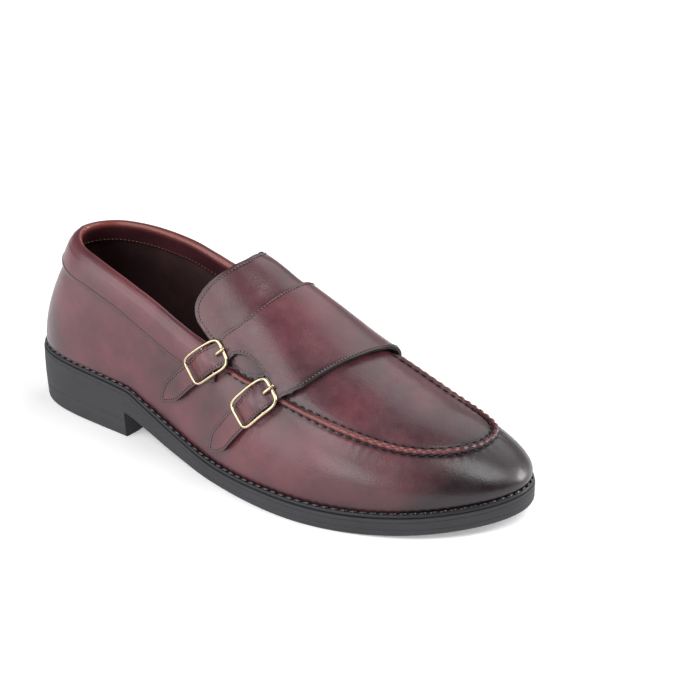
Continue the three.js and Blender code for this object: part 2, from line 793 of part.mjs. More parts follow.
function makeProng(strap) {
  return loft(PRONG_RUN.map((row) => wireRing(strap, row.along, 0, row.lift, PRONG_WIRE, [0, 1])));
}

// Bottom unit: the sole with its shank and the heel block as one body
function makeSole() {
  const rings = [
    ringOf(EDGE_CHAMFER, soleUnder),
    ringOf(0.2, (x) => soleUnder(x) + EDGE_CHAMFER),
    ringOf(0, (x) => (soleUnder(x) + soleTop(x)) / 2),
    ringOf(0, (x) => soleTop(x) - 0.7),
    ringOf(0.6, soleTop),
  ];
  return fromSolid(toSolid(stackOf(rings)).add(makeHeelBlock()));
}

function makeHeelBlock() {
  const rings = [
    heelRing(HEEL_TAPER + EDGE_CHAMFER, 0),
    heelRing(HEEL_TAPER, EDGE_CHAMFER),
    heelRing(0.25, HEEL_OVERLAP),
  ];
  return toSolid(loft(rings.map((ring) => [...ring])));
}

// The heel's outline from breast to breast round the back, closed by the straight breast
function heelRing(setback, z) {
  const points = [];
  const steps = 26;
  const start = Math.acos(HEEL_BREAST / HALF_LENGTH);
  for (let i = 0; i <= steps; i += 1) {
    const p = rim(start + ((2 * Math.PI - 2 * start) * i) / steps, setback);
    points.push(new THREE.Vector3(p.x, p.y, z));
  }
  return points;
}

// Welt: a flat strip that follows the sole's edge and reaches in under the upper
function makeWelt() {
  const sections = [];
  for (let i = 0; i < 2 * STATIONS; i += 1) {
    const at = (setback, rise) => {
      const p = rim(turnAt(i), setback);
      return new THREE.Vector3(p.x, p.y, soleTop(p.x) + FIT_GAP + rise);
    };
    sections.push([at(WELT_SETBACK, 0), at(WELT_SETBACK, WELT_THICK), at(WELT_REACH, WELT_THICK), at(WELT_REACH, 0)]);
  }
  return loft(sections, true);
}

function makeInsole() {
  return stackOf([
    ringOf(INSOLE_SETBACK, (x) => soleTop(x) + FIT_GAP),
    ringOf(INSOLE_SETBACK, (x) => soleTop(x) + FIT_GAP + INSOLE_THICK),
  ]);
}

function part(name, geometry, look) {
  const solid = fromSolid(toSolid(geometry));
  solid.computeVertexNormals();
  const mesh = new THREE.Mesh(solid, new THREE.MeshStandardMaterial(look));
  mesh.name = name;
  return mesh;
}

const shoe = new THREE.Group();
shoe.name = "monk_strap_shoe";
shoe.add(part("sole", makeSole(), SOLE_RUBBER));
shoe.add(part("welt", makeWelt(), WELT_BLACK));
shoe.add(part("insole", makeInsole(), SOCK_LEATHER));
shoe.add(part("upper", makeUpper(), LEATHER));
shoe.add(part("collar_band", makeCollarBand(), LEATHER));
shoe.add(part("apron_bead", makeBead(), LEATHER));
shoe.add(part("tongue", sheet(onRibRows(TONGUE), TONGUE_LAYER, 5), LEATHER));
shoe.add(part("saddle", makeSaddle(), LEATHER));
shoe.add(part("buckle_frame_rear", makeFrame(REAR_STRAP), PALE_BRASS));
shoe.add(part("buckle_frame_front", makeFrame(FRONT_STRAP), PALE_BRASS));
shoe.add(part("buckle_prong_rear", makeProng(REAR_STRAP), PALE_BRASS));
shoe.add(part("buckle_prong_front", makeProng(FRONT_STRAP), PALE_BRASS));

export default shoe;
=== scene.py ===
"""Visual model of a double monk strap shoe for the right foot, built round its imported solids."""

import logging
import math
from dataclasses import dataclass, field
from enum import Enum
from typing import Any, Callable, Sequence

import bmesh
import bpy
import numpy as np
from mathutils import Matrix, Vector
from mathutils.bvhtree import BVHTree


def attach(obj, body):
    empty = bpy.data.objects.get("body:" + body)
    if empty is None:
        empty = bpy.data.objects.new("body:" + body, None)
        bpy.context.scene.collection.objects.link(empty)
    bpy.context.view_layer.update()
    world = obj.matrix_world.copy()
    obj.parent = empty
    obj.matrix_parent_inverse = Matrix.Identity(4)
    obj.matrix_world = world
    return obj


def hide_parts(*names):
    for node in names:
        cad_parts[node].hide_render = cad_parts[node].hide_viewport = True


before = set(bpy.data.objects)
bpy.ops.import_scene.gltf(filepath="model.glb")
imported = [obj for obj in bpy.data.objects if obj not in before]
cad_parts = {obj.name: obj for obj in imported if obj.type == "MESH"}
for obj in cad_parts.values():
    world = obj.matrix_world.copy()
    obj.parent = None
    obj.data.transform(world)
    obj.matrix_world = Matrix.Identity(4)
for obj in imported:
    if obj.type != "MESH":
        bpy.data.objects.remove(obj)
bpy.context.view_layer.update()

log = logging.getLogger("monk_strap_shoe")
MM = 0.001
HALF = 150.0
ROUND = 2 * math.pi
SHARP_ANGLE = math.radians(48)
Rows = Sequence[Sequence[float]]
Array = np.ndarray


class Side(Enum):
    """The two sides of the shoe."""

    OUTER = "outer"
    INNER = "inner"


class Slot(Enum):
    """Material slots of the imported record."""

    LEATHER = "burgundy_leather"
    SOLE = "sole_rubber"
    WELT = "welt_black"
    SOCK = "sock_leather"
    BRASS = "pale_brass"


# Sizes of the last and its pieces, in mm. Outline rows: x, y on the outer side, y on the inner side
OUTLINE = (
    (150, 9, 9), (148, -1, 19.5), (143, -10.3, 28), (135, -19.6, 35.5), (125, -28.3, 42),
    (112, -37, 48.2), (95, -45, 53.2), (75, -51.2, 54.5), (50, -54.5, 50), (25, -52.3, 42),
    (0, -46.3, 34.5), (-30, -37, 31.8), (-60, -30.6, 33.8), (-85, -27.2, 35.8), (-110, -23.9, 36),
    (-130, -18.9, 31.3), (-140, -13.3, 25), (-146, -7, 18), (-149, -0.9, 11.3), (-150, 5, 5),
)
# x, height of the sole's top edge, height of its underside
SOLE_SIDE = (
    (-150, 31.3, 14.7), (-75, 28.2, 14.7), (-60, 22.6, 10.3), (-40, 15.2, 4.2), (-18, 9.9, 0.5),
    (-10, 9.1, 0), (0, 8.8, 0), (40, 9.6, 0), (75, 9.6, 0), (150, 9.6, 0),
)
# x, height and sideways place of the ridge
RIDGE = (
    (-103, 134, 3.5), (-85, 134, 3.5), (-50, 133, 4), (-25, 117, 6), (0, 100, 7.5), (25, 85, 8.6),
    (50, 70, 8.9), (75, 58.9, 8.2), (95, 51, 9.8), (108, 47.4, 11),
)
# x, fullness outer and inner, swell outer and inner
RIB_SHAPE = (
    (-150, 1.72, 1.72, 0.8, 0.8), (-120, 1.78, 1.85, 2, 2), (-90, 1.98, 2.15, 1.8, 1.8),
    (-50, 2.15, 2.45, 1.2, 1.4), (0, 1.92, 2.9, 1, 3), (60, 2.2, 2.35, 0.8, 0.8),
    (110, 2.35, 1.95, 0.8, 0.8), (150, 2.3, 2.3, 2.6, 2.6),
)
# x, setback of the feather edge, how low the swell sits
FEATHER = ((-150, 1.8, 0.45), (-100, 2, 0.5), (-40, 3, 0.7), (150, 3, 0.75))
# height, lean of the heel's back toward the toe; station, share of that lean
HEEL_LEAN = (
    (30, 0), (40, 0.8), (52, 2), (65, 4), (74, 5.8), (84, 7.8), (100, 9.4), (120, 10),
)
LEAN_SHARE = ((-115, 1), (-95, 0.85), (-60, 0.3), (-25, 0))
# x, height of the topline outer and inner, running on as the edge of the throat
TOPLINE = (
    (-152, 101, 101), (-126, 100.6, 101), (-112, 97, 101), (-100, 95, 100.5), (-86, 92, 99.5),
    (-64, 86, 97), (-50, 81.3, 93.5), (-36, 76, 89.5), (-26, 72.5, 87.5), (-14, 70, 86), (-7, 71, 87),
)
THROAT = ((-3, 73.5, 88.5), (1, 80, 91), (5, 92, 97), (7, 140, 140))
BAND_DEPTH = ((-152, 15.5), (-90, 16), (-50, 18.5), (-30, 17), (-7, 15))
# girth over the foot, rear edge, front edge
SADDLE = (
    (0.515, -8.5, 37.2), (0.56, -5, 40.4), (0.65, 0, 44.3), (0.75, 4, 47.8), (0.87, 7.2, 51.4),
    (1, 9.6, 54.9), (1.13, 10.2, 57), (1.28, 9, 57.2), (1.42, 7.5, 56), (1.56, 6, 54),
    (1.7, 4.5, 51), (1.84, 3, 47.5), (1.97, 1.5, 44),
)
TONGUE = (
    (0.44, -18.5, -1), (0.455, -26.5, 14), (0.5, -28.8, 20), (0.57, -27, 20), (0.68, -22.2, 20),
    (0.8, -17.2, 20), (0.93, -13.6, 20), (1.06, -13, 20), (1.18, -14.4, 20), (1.3, -18, 20),
    (1.4, -22, 20), (1.45, -22, 20), (1.47, -15, 14),
)
# Apron seam: turn round the outline (inner side negative), rise
BEAD = (
    (1.6, 0.395), (1.56, 0.405), (1.53, 0.41), (1.45, 0.43), (1.335, 0.45), (1.2, 0.478),
    (1.05, 0.498), (0.912, 0.521),
    (0.777, 0.55), (0.64, 0.592), (0.5, 0.64), (0.3, 0.69), (0.06, 0.722), (-0.16, 0.715),
    (-0.36, 0.68), (-0.55, 0.645), (-0.75, 0.63), (-0.95, 0.65), (-1.1, 0.68), (-1.18, 0.7),
)


class Column:
    """Smooth curve through two columns of a size table that keeps the rows' rises and falls."""

    def __init__(self, rows: Rows, value: int = 1, key: int = 0) -> None:
        """Works out the slopes at the rows.

        Args:
            rows: The table.
            value: Which column the curve gives.
            key: Which column it runs along.
        """
        table = np.array(sorted(rows, key=lambda row: row[key]), float)
        self.x, self.y = table[:, key], table[:, value]
        self.step = np.diff(self.x)
        rise = np.diff(self.y) / self.step
        self.slope = np.zeros(len(self.x))
        self.slope[0], self.slope[-1] = rise[0], rise[-1]
        for i in range(1, len(self.x) - 1):
            if rise[i - 1] * rise[i] > 0:
                a = 2 * self.step[i] + self.step[i - 1]
                b = self.step[i] + 2 * self.step[i - 1]
                self.slope[i] = (a + b) / (a / rise[i - 1] + b / rise[i])

    def __call__(self, at: Array | float) -> Array:
        """The curve's value at each place, held at its ends."""
        q = np.clip(np.asarray(at, float), self.x[0], self.x[-1])
        i = np.clip(np.searchsorted(self.x, q, side="right") - 1, 0, len(self.step) - 1)
        h = self.step[i]
        t = (q - self.x[i]) / h
        u = 1 - t
        low = (1 + 2 * t) * u * u * self.y[i] + t * u * u * h * self.slope[i]
        return low + t * t * (3 - 2 * t) * self.y[i + 1] - t * t * u * h * self.slope[i + 1]


class EvenSpline:
    """Cubic spline with an even bend through all points, for the outline."""

    def __init__(self, x: Sequence[float], y: Sequence[float]) -> None:
        """Solves for the bend at each point."""
        self.x, self.y = np.array(x, float), np.array(y, float)
        n = len(self.x)
        self.h = np.diff(self.x)
        system, right = np.eye(n), np.zeros(n)
        for i in range(1, n - 1):
            system[i, i - 1 : i + 2] = self.h[i - 1], 2 * (self.h[i - 1] + self.h[i]), self.h[i]
            after = (self.y[i + 1] - self.y[i]) / self.h[i]
            right[i] = 6 * (after - (self.y[i] - self.y[i - 1]) / self.h[i - 1])
        self.bend = np.linalg.solve(system, right)

    def __call__(self, at: Array | float) -> Array:
        """The spline's value at each place."""
        q = np.asarray(at, float)
        i = np.clip(np.searchsorted(self.x, q, side="right") - 1, 0, len(self.h) - 1)
        a, b = (self.x[i + 1] - q) / self.h[i], (q - self.x[i]) / self.h[i]
        cubic = ((a**3 - a) * self.bend[i] + (b**3 - b) * self.bend[i + 1]) * self.h[i] ** 2
        return a * self.y[i] + b * self.y[i + 1] + cubic / 6


def smooth(t: Array | float) -> Array:
    """A soft step from 0 to 1."""
    t = np.clip(t, 0, 1)
    return t * t * (3 - 2 * t)


def run_length(points: Array) -> Array:
    """Length along a line of points, from 0 at its first."""
    return np.concatenate([[0], np.cumsum(np.linalg.norm(np.diff(points, axis=0), axis=1))])


def unit(v: Array) -> Array:
    """Vectors scaled to length 1."""
    return v / (np.linalg.norm(v, axis=-1, keepdims=True) + 1e-12)


@dataclass
class Last:
    """The foot form's surface: turn round the outline, rise from the welt to the ridge, lift off it."""

    welt_top: float = 2.4
    spring: float = 7.6
    throat: tuple = TOPLINE + THROAT

    def __post_init__(self) -> None:
        """Makes the curves through the size tables."""
        turns = [math.acos(row[0] / HALF) for row in OUTLINE]
        turn = turns + [ROUND - t for t in turns[1:-1][::-1]]
        y = [row[1] for row in OUTLINE] + [row[2] for row in OUTLINE[1:-1][::-1]]
        ends = [t - ROUND for t in turn[-4:]], [t + ROUND for t in turn[:4]]
        self.outline_y = EvenSpline(ends[0] + turn + ends[1], y[-4:] + y + y[:4])
        self.top_flat, self.under_flat = Column(SOLE_SIDE, 1), Column(SOLE_SIDE, 2)
        self.ridge_z, self.ridge_y = Column(RIDGE, 1), Column(RIDGE, 2)
        self.full = Column(RIB_SHAPE, 1), Column(RIB_SHAPE, 2)
        self.swell = Column(RIB_SHAPE, 3), Column(RIB_SHAPE, 4)
        self.inset, self.swell_power = Column(FEATHER, 1), Column(FEATHER, 2)
        self.lean, self.lean_share = Column(HEEL_LEAN, 1), Column(LEAN_SHARE, 1)
        self.edge = {Side.OUTER: Column(self.throat, 1), Side.INNER: Column(self.throat, 2)}

    def rim(self, turn: Array, setback: Array | float) -> tuple[Array, Array, Array, Array]:
        """The outline moved inward.

        Args:
            turn: Turns round the outline.
            setback: How far inward, in mm.

        Returns:
            The points' x and y, and the outward direction's x and y.
        """
        t = np.mod(turn, ROUND)
        d = 1e-3
        dx = -2 * d * HALF * np.sin(t)
        dy = self.outline_y(t + d) - self.outline_y(t - d)
        length = np.hypot(dx, dy)
        out_x, out_y = -dy / length, dx / length
        return HALF * np.cos(t) - out_x * setback, self.outline_y(t) - out_y * setback, out_x, out_y

    def sole_top(self, x: Array) -> Array:
        """Height of the sole's top edge, with the toe spring."""
        return self.top_flat(x) + self.spring * np.clip((x - 65) / 85, 0, 1) ** 2

    def sole_under(self, x: Array) -> Array:
        """Height of the sole's underside, with the toe spring."""
        return self.under_flat(x) + self.spring * np.clip((x - 65) / 85, 0, 1) ** 2

    def point(self, turn: Array, rise: Array) -> Array:
        """Points of the surface, in mm."""
        turn, rise = np.broadcast_arrays(np.asarray(turn, float), np.asarray(rise, float))
        station = HALF * np.cos(turn)
        ex, ey, ox, oy = self.rim(turn, self.inset(station))
        front = 78 + 30 * np.tanh((station - 78) / 30)
        back = -75 + 28 * np.tanh((station + 75) / 28)
        top = np.where(station > 78, front, np.where(station < -75, back, station))
        top_y = self.ridge_y(top)
        inside = np.clip((ey - top_y) / 32 + 0.5, 0, 1)
        full = self.full[0](station) * (1 - inside) + self.full[1](station) * inside
        swell = self.swell[0](station) * (1 - inside) + self.swell[1](station) * inside
        angle = rise * math.pi / 2
        inward = 1 - np.clip(np.cos(angle), 0, 1) ** (2 / full)
        upward = np.clip(np.sin(angle), 0, 1) ** (2 / full)
        puff = swell * np.sin(math.pi * upward ** self.swell_power(station))
        px, py = ex + (top - ex) * inward + ox * puff, ey + (top_y - ey) * inward + oy * puff
        slope = self.ridge_z(top + 0.5) - self.ridge_z(top - 0.5)
        roof = self.ridge_z(top) + np.where(station > 0, slope * (px - top), 0)
        foot = self.sole_top(ex) + self.welt_top
        height = foot + (roof - foot) * upward
        return np.stack([px + self.lean(height) * self.lean_share(station), py, height], -1)

    def _slope_normal(self, turn: Array, rise: Array) -> Array:
        """Outward normals of one side, from small steps along the surface."""
        v = np.clip(rise, 0.006, 0.985)
        along = self.point(turn + 0.004, v) - self.point(turn - 0.004, v)
        up = self.point(turn, v + 0.004) - self.point(turn, v - 0.004)
        return unit(np.cross(up, along))

    def normal(self, turn: Array, rise: Array) -> Array:
        """Outward normals, shared by both sides on the ridge."""
        turn, rise = np.broadcast_arrays(np.asarray(turn, float), np.asarray(rise, float))
        share = (np.clip((rise - 0.97) / 0.03, 0, 1) / 2)[..., None]
        own, other = self._slope_normal(turn, rise), self._slope_normal(-turn, rise)
        return unit(own * (1 - share) + other * share)

    def skin(self, turn: Array, rise: Array, lift: Array | float) -> Array:
        """Points at a lift over the surface, in mm."""
        return self.point(turn, rise) + self.normal(turn, rise) * np.asarray(lift)[..., None]

    def rise_at(self, turn: Array, z: Array) -> Array:
        """The rise at which each rib stands at height z."""
        low, high = np.zeros(np.broadcast(turn, z).shape), np.ones(np.broadcast(turn, z).shape)
        for _ in range(22):
            middle = (low + high) / 2
            below = self.point(turn, middle)[..., 2] < z
            low, high = np.where(below, middle, low), np.where(below, high, middle)
        return (low + high) / 2

    def edge_height(self, turn: Array, x: Array) -> Array:
        """Height of the topline or throat edge over x, on the side that the turn lies on."""
        outer = np.mod(turn, ROUND) <= math.pi
        return np.where(outer, self.edge[Side.OUTER](x), self.edge[Side.INNER](x))

    def edge_rise(self, turn: Array, sink: float) -> Array:
        """The rise at which each rib meets the topline, less a sink in mm."""
        low, high = np.zeros(np.shape(turn)), np.ones(np.shape(turn))
        for _ in range(22):
            middle = (low + high) / 2
            p = self.point(turn, middle)
            below = p[..., 2] < self.edge_height(turn, p[..., 0]) - sink
            low, high = np.where(below, middle, low), np.where(below, high, middle)
        return (low + high) / 2

    def level_rise(self, turn: Array, z: Array, lift: Array) -> Array:
        """The rise at which a layer over each rib stands at height z."""
        aim = np.array(z, float)
        for _ in range(4):
            rise = self.rise_at(turn, aim)
            aim = aim + z - self.skin(turn, rise, lift)[..., 2]
        return self.rise_at(turn, aim)

    def girth_turn(self, x: Array, girth: Array) -> tuple[Array, Array]:
        """Turn and rise of places given by station and girth, 0 outer welt, 1 ridge, 2 inner welt."""
        turn = np.arccos(np.clip(np.asarray(x, float) / HALF, -1, 1))
        outer = np.asarray(girth) <= 1
        return np.where(outer, turn, -turn), np.where(outer, girth, 2 - np.asarray(girth))


LAST = Last()


class BeadLine:
    """The apron's seam line on the last."""

    def __init__(self, last: Last) -> None:
        """Measures the line's length and the girth per unit of rise beside it."""
        self.last = last
        self.first, self.end = BEAD[-1][0], BEAD[0][0]
        self.rise = Column(BEAD)
        self.turns = np.linspace(self.first, self.end, 700)
        points = last.point(self.turns, self.rise(self.turns))
        self.length = run_length(points)

    def away(self, turn: Array, rise: Array) -> Array:
        """Signed distance from the line in mm, above it positive."""
        base = self.rise(turn)
        step = self.last.point(turn, base + 0.01) - self.last.point(turn, base - 0.01)
        return (rise - base) * np.linalg.norm(step, axis=-1) / 0.02


BEAD_LINE = BeadLine(LAST)
PUCKER = 4.6
# Value of the edge_mm mark on which the sewing line runs
SEAM_MARK = 1.45


class Shade:
    """Adds nodes to one material."""

    def __init__(self, name: str) -> None:
        """Starts a material with its principled shader."""
        self.material = bpy.data.materials.new(name)
        self.material.use_nodes = True
        self.tree = self.material.node_tree
        self.shader = self.tree.nodes["Principled BSDF"]

    def add(self, kind: str, links: dict[Any, Any] | None = None, **settings: Any) -> bpy.types.Node:
        """Adds one node.

        Args:
            kind: The node's type name without its ShaderNode prefix.
            links: Input name or number to a constant or to another node's output.
            settings: Properties of the node.

        Returns:
            The node.
        """
        node = self.tree.nodes.new("ShaderNode" + kind)
        for key, value in settings.items():
            setattr(node, key, value)
        for key, value in (links or {}).items():
            if isinstance(value, bpy.types.NodeSocket):
                self.tree.links.new(value, node.inputs[key])
            else:
                node.inputs[key].default_value = value
        return node

    def ramp(self, source: bpy.types.NodeSocket, stops: Sequence[tuple[float, Any]]) -> bpy.types.NodeSocket:
        """A colour ramp over a value.

        Args:
            source: The value.
            stops: Places and hex colours or grey values.

        Returns:
            The ramp's colour.
        """
        node = self.add("ValToRGB", {"Fac": source})
        elements = node.color_ramp.elements
        while len(elements) < len(stops):
            elements.new(0.5)
        for element, (place, colour) in zip(elements, stops):
            element.position = place
            element.color = linear(colour) if isinstance(colour, str) else (colour, colour, colour, 1)
        return node.outputs["Color"]

    def mix(self, factor: Any, a: Any, b: Any, blend: str = "MIX") -> bpy.types.NodeSocket:
        """Mixes two colours by a factor."""
        node = self.add("Mix", {0: factor, 6: a, 7: b}, data_type="RGBA", blend_type=blend)
        return node.outputs[2]

    def math(self, kind: str, a: Any, b: Any = 0.0) -> bpy.types.NodeSocket:
        """One sum on values."""
        return self.add("Math", {0: a, 1: b}, operation=kind).outputs[0]

    def set(self, **values: Any) -> None:
        """Sets the shader's own sockets, a name's underscores read as blanks."""
        for key, value in values.items():
            socket = self.shader.inputs[key.replace("_", " ")]
            if isinstance(value, bpy.types.NodeSocket):
                self.tree.links.new(value, socket)
            else:
                socket.default_value = value


def linear(code: str) -> tuple[float, float, float, float]:
    """An sRGB hex colour as linear red, green, blue and alpha."""
    parts = [int(code[i : i + 2], 16) / 255 for i in (1, 3, 5)]
    made = [c / 12.92 if c <= 0.04045 else ((c + 0.055) / 1.055) ** 2.4 for c in parts]
    return made[0], made[1], made[2], 1.0


def per_mm(size: float) -> float:
    """Pattern scale in metres for a feature of a size in mm."""
    return 1000 / size


@dataclass(frozen=True)
class CalfLeather:
    """Chrome-tanned calf, dyed burgundy, waxed and brushed: close pores, soft gloss, dark burnished toe and
    edges, with painted shade and painted highlights carried by its marks.
    """

    name: str = "burgundy_calf"
    deep: str = "#42222a"
    warm: str = "#613037"
    burnish_and_shade_tone: str = "#12090e"
    raw_edge_and_highlight_tone: str = "#8a3b28"
    roughness: float = 0.36
    grain: float = 0.8
    grain_height: float = 0.3

    def make(self) -> bpy.types.Material:
        """Makes the material.

        Returns:
            The material.
        """
        s = Shade(self.name)
        where = s.add("TexCoord").outputs["Object"]
        cloud = s.add("TexNoise", {"Vector": where, "Scale": per_mm(38), "Detail": 3.0, "Roughness": 0.55})
        mottle = s.add("TexNoise", {"Vector": where, "Scale": per_mm(5), "Detail": 4.0, "Roughness": 0.6})
        clouds = s.ramp(cloud.outputs["Fac"], [(0.36, 0.0), (0.64, 1.0)])
        base = s.mix(clouds, linear(self.deep), linear(self.warm))
        speck = s.ramp(mottle.outputs["Fac"], [(0.35, 0.86), (0.7, 1.0)])
        base = s.mix(1.0, base, speck, "MULTIPLY")
        # dye_and_painted_shade mark: real burnish on the toe, heel and dyed edges, plus painted shade near
        # the welt, beside the apron seam and at the bead's bases, all mixed toward the dark burnished colour
        dye_and_painted_shade = s.add("Attribute", attribute_name="dye_and_painted_shade")
        # highlight_and_raw_edge mark: reddish raw-edge tone inside the collar roll with a painted highlight
        # on it, and a painted highlight along the apron bead's crest
        highlight_and_raw_edge = s.add("Attribute", attribute_name="highlight_and_raw_edge")
        base = s.mix(dye_and_painted_shade.outputs["Fac"], base, linear(self.burnish_and_shade_tone))
        base = s.mix(highlight_and_raw_edge.outputs["Fac"], base, linear(self.raw_edge_and_highlight_tone))
        edge_mm = s.add("Attribute", attribute_name="edge_mm").outputs["Fac"]
        # Painted shade: the sewing line is darkened toward the dark burnished colour as if shade lay in its
        # groove; the same mask also sinks the bump
        off = s.math("ABSOLUTE", s.math("SUBTRACT", edge_mm, SEAM_MARK))
        line = {"Value": off, "From Min": 0.15, "From Max": 0.6, "To Min": 1.0, "To Max": 0.0}
        shaded_groove = s.add("MapRange", line).outputs["Result"]
        base = s.mix(s.math("MULTIPLY", shaded_groove, 0.7), base, linear(self.burnish_and_shade_tone))
        pores = s.add("TexVoronoi", {"Vector": where, "Scale": per_mm(self.grain)}, feature="SMOOTH_F1")
        skin = s.add("TexNoise", {"Vector": where, "Scale": per_mm(0.9), "Detail": 3.0})
        lines = s.add("Mapping", {"Vector": where, "Scale": (0.35, 1.0, 1.6)})
        pull = s.add("TexNoise", {"Vector": lines.outputs[0], "Scale": per_mm(1.5), "Detail": 2.0})
        wave = s.add("TexNoise", {"Vector": where, "Scale": per_mm(13), "Detail": 1.0})
        height = s.math("MULTIPLY_ADD", pores.outputs["Distance"], 0.5)
        height.node.inputs[2].default_value = 0.0
        total = s.math("ADD", height, s.math("MULTIPLY", skin.outputs["Fac"], 0.6))
        wrinkle = s.add("Attribute", attribute_name="wrinkle")
        fine = s.math("MULTIPLY", pull.outputs["Fac"], s.math("MULTIPLY", wrinkle.outputs["Fac"], 0.8))
        fine_total = s.math("SUBTRACT", s.math("ADD", total, fine), s.math("MULTIPLY", shaded_groove, 0.9))
        small = s.add("Bump", {"Height": fine_total, "Strength": self.grain_height, "Distance": 0.00035})
        swell = {"Height": wave.outputs["Fac"], "Strength": 0.05, "Distance": 0.004}
        broad = s.add("Bump", {**swell, "Normal": small.outputs[0]})
        rough = s.ramp(mottle.outputs["Fac"], [(0.3, self.roughness - 0.05), (0.75, self.roughness + 0.09)])
        s.set(Base_Color=base, Roughness=rough, Normal=broad.outputs[0])
        s.set(IOR=1.46, Coat_Weight=0.2, Coat_Roughness=0.22)
        return s.material


@dataclass(frozen=True)
class PlainLeather:
    """Vegetable-tanned lining or edge leather: matt, even, with a soft fibre."""

    name: str
    colour: str
    dark: str
    roughness: float = 0.62

    def make(self) -> bpy.types.Material:
        """Makes the material.

        Returns:
            The material.
        """
        s = Shade(self.name)
        where = s.add("TexCoord").outputs["Object"]
        cloud = s.add("TexNoise", {"Vector": where, "Scale": per_mm(16), "Detail": 4.0, "Roughness": 0.6})
        fibre = s.add("TexNoise", {"Vector": where, "Scale": per_mm(0.8), "Detail": 3.0})
        clouds = s.ramp(cloud.outputs["Fac"], [(0.3, 0.0), (0.7, 1.0)])
        base = s.mix(clouds, linear(self.dark), linear(self.colour))
        bump = s.add("Bump", {"Height": fibre.outputs["Fac"], "Strength": 0.25, "Distance": 0.0003})
        s.set(Base_Color=base, Roughness=self.roughness, Normal=bump.outputs[0], IOR=1.45)
        return s.material


@dataclass(frozen=True)
class MouldedRubber:
    """Moulded sole rubber: matt, slightly dusty, with a faint flow texture."""

    name: str
    colour: str
    dust: str
    roughness: float = 0.58
    speck: float = 0.9

    def make(self) -> bpy.types.Material:
        """Makes the material.

        Returns:
            The material.
        """
        s = Shade(self.name)
        where = s.add("TexCoord").outputs["Object"]
        cloud = s.add("TexNoise", {"Vector": where, "Scale": per_mm(20), "Detail": 5.0, "Roughness": 0.65})
        grit = s.add("TexNoise", {"Vector": where, "Scale": per_mm(self.speck), "Detail": 2.0})
        clouds = s.ramp(cloud.outputs["Fac"], [(0.35, 0.0), (0.75, 1.0)])
        base = s.mix(clouds, linear(self.colour), linear(self.dust))
        rough = s.ramp(cloud.outputs["Fac"], [(0.3, self.roughness - 0.06), (0.7, self.roughness + 0.08)])
        bump = s.add("Bump", {"Height": grit.outputs["Fac"], "Strength": 0.3, "Distance": 0.0003})
        s.set(Base_Color=base, Roughness=rough, Normal=bump.outputs[0], IOR=1.42)
        return s.material


@dataclass(frozen=True)
class PlatedBrass:
    """Pale gold plate on bent wire, polished, with faint drawing marks."""

    name: str = "pale_gold_plate"
    colour: str = "#b9a98c"
    roughness: float = 0.2

    def make(self) -> bpy.types.Material:
        """Makes the material.

        Returns:
            The material.
        """
        s = Shade(self.name)
        where = s.add("TexCoord").outputs["Object"]
        marks = s.add("TexNoise", {"Vector": where, "Scale": per_mm(1.4), "Detail": 3.0})
        rough = s.ramp(marks.outputs["Fac"], [(0.3, self.roughness - 0.05), (0.7, self.roughness + 0.08)])
        bump = s.add("Bump", {"Height": marks.outputs["Fac"], "Strength": 0.08, "Distance": 0.0003})
        s.set(Base_Color=linear(self.colour), Metallic=1.0, Roughness=rough, Normal=bump.outputs[0])
        return s.material


@dataclass(frozen=True)
class WaxedThread:
    """Bonded thread with wax: tiny twist, soft glints."""

    name: str
    colour: str
    roughness: float = 0.45

    def make(self) -> bpy.types.Material:
        """Makes the material.

        Returns:
            The material.
        """
        s = Shade(self.name)
        where = s.add("TexCoord").outputs["Object"]
        twist = s.add("TexNoise", {"Vector": where, "Scale": per_mm(0.5), "Detail": 1.0})
        bump = s.add("Bump", {"Height": twist.outputs["Fac"], "Strength": 0.4, "Distance": 0.0002})
        s.set(Base_Color=linear(self.colour), Roughness=self.roughness, Normal=bump.outputs[0])
        return s.material


class Wardrobe:
    """The shoe's finishes, each made once."""

    def __init__(self) -> None:
        """Makes every material."""
        self.calf = CalfLeather().make()
        self.edge = PlainLeather("dyed_cut_edge", "#140b0f", "#0c0709", 0.8).make()
        self.lining = PlainLeather("brown_lining_leather", "#40282a", "#2e1d20", 0.6).make()
        self.sock = PlainLeather("tan_sock_leather", "#6b3324", "#57271b", 0.55).make()
        self.rubber = MouldedRubber("black_moulded_rubber", "#27272b", "#333337", 0.66).make()
        self.welt = MouldedRubber("black_welt_strip", "#121115", "#1b1a1f", 0.5).make()
        self.brass = PlatedBrass().make()
        self.dark_thread = WaxedThread("dark_bonded_thread", "#6a5250").make()
        self.apron_thread = WaxedThread("black_bonded_thread", "#120a0e").make()
        self.pale_thread = WaxedThread("brown_lining_thread", "#6a4a40").make()
        self.welt_thread = WaxedThread("black_waxed_thread", "#1b1a1f", 0.3).make()


def finish_piece(
    bm: bmesh.types.BMesh, name: str, looks: Sequence[bpy.types.Material], slot: Slot, *nodes: str
) -> bpy.types.Object:
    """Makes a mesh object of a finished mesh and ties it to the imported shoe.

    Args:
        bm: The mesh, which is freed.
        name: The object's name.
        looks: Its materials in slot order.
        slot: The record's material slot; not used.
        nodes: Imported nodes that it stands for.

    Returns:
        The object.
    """
    bmesh.ops.recalc_face_normals(bm, faces=bm.faces)
    for face in bm.faces:
        face.smooth = True
    for edge in bm.edges:
        if len(edge.link_faces) == 2 and edge.calc_face_angle(0) > SHARP_ANGLE:
            edge.smooth = False
    mesh = bpy.data.meshes.new(name)
    bm.to_mesh(mesh)
    bm.free()
    for look in looks:
        mesh.materials.append(look)
    piece = bpy.data.objects.new(name, mesh)
    bpy.context.scene.collection.objects.link(piece)
    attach(piece, "root")
    for node in nodes:
        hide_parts(node)
    log.info("%s: %d faces", name, len(mesh.polygons))
    return piece


@dataclass
class Laid:
    """Points laid on the last with their outward directions and named marks for the finish."""

    points: Array
    normals: Array
    marks: dict[str, Array] = field(default_factory=dict)


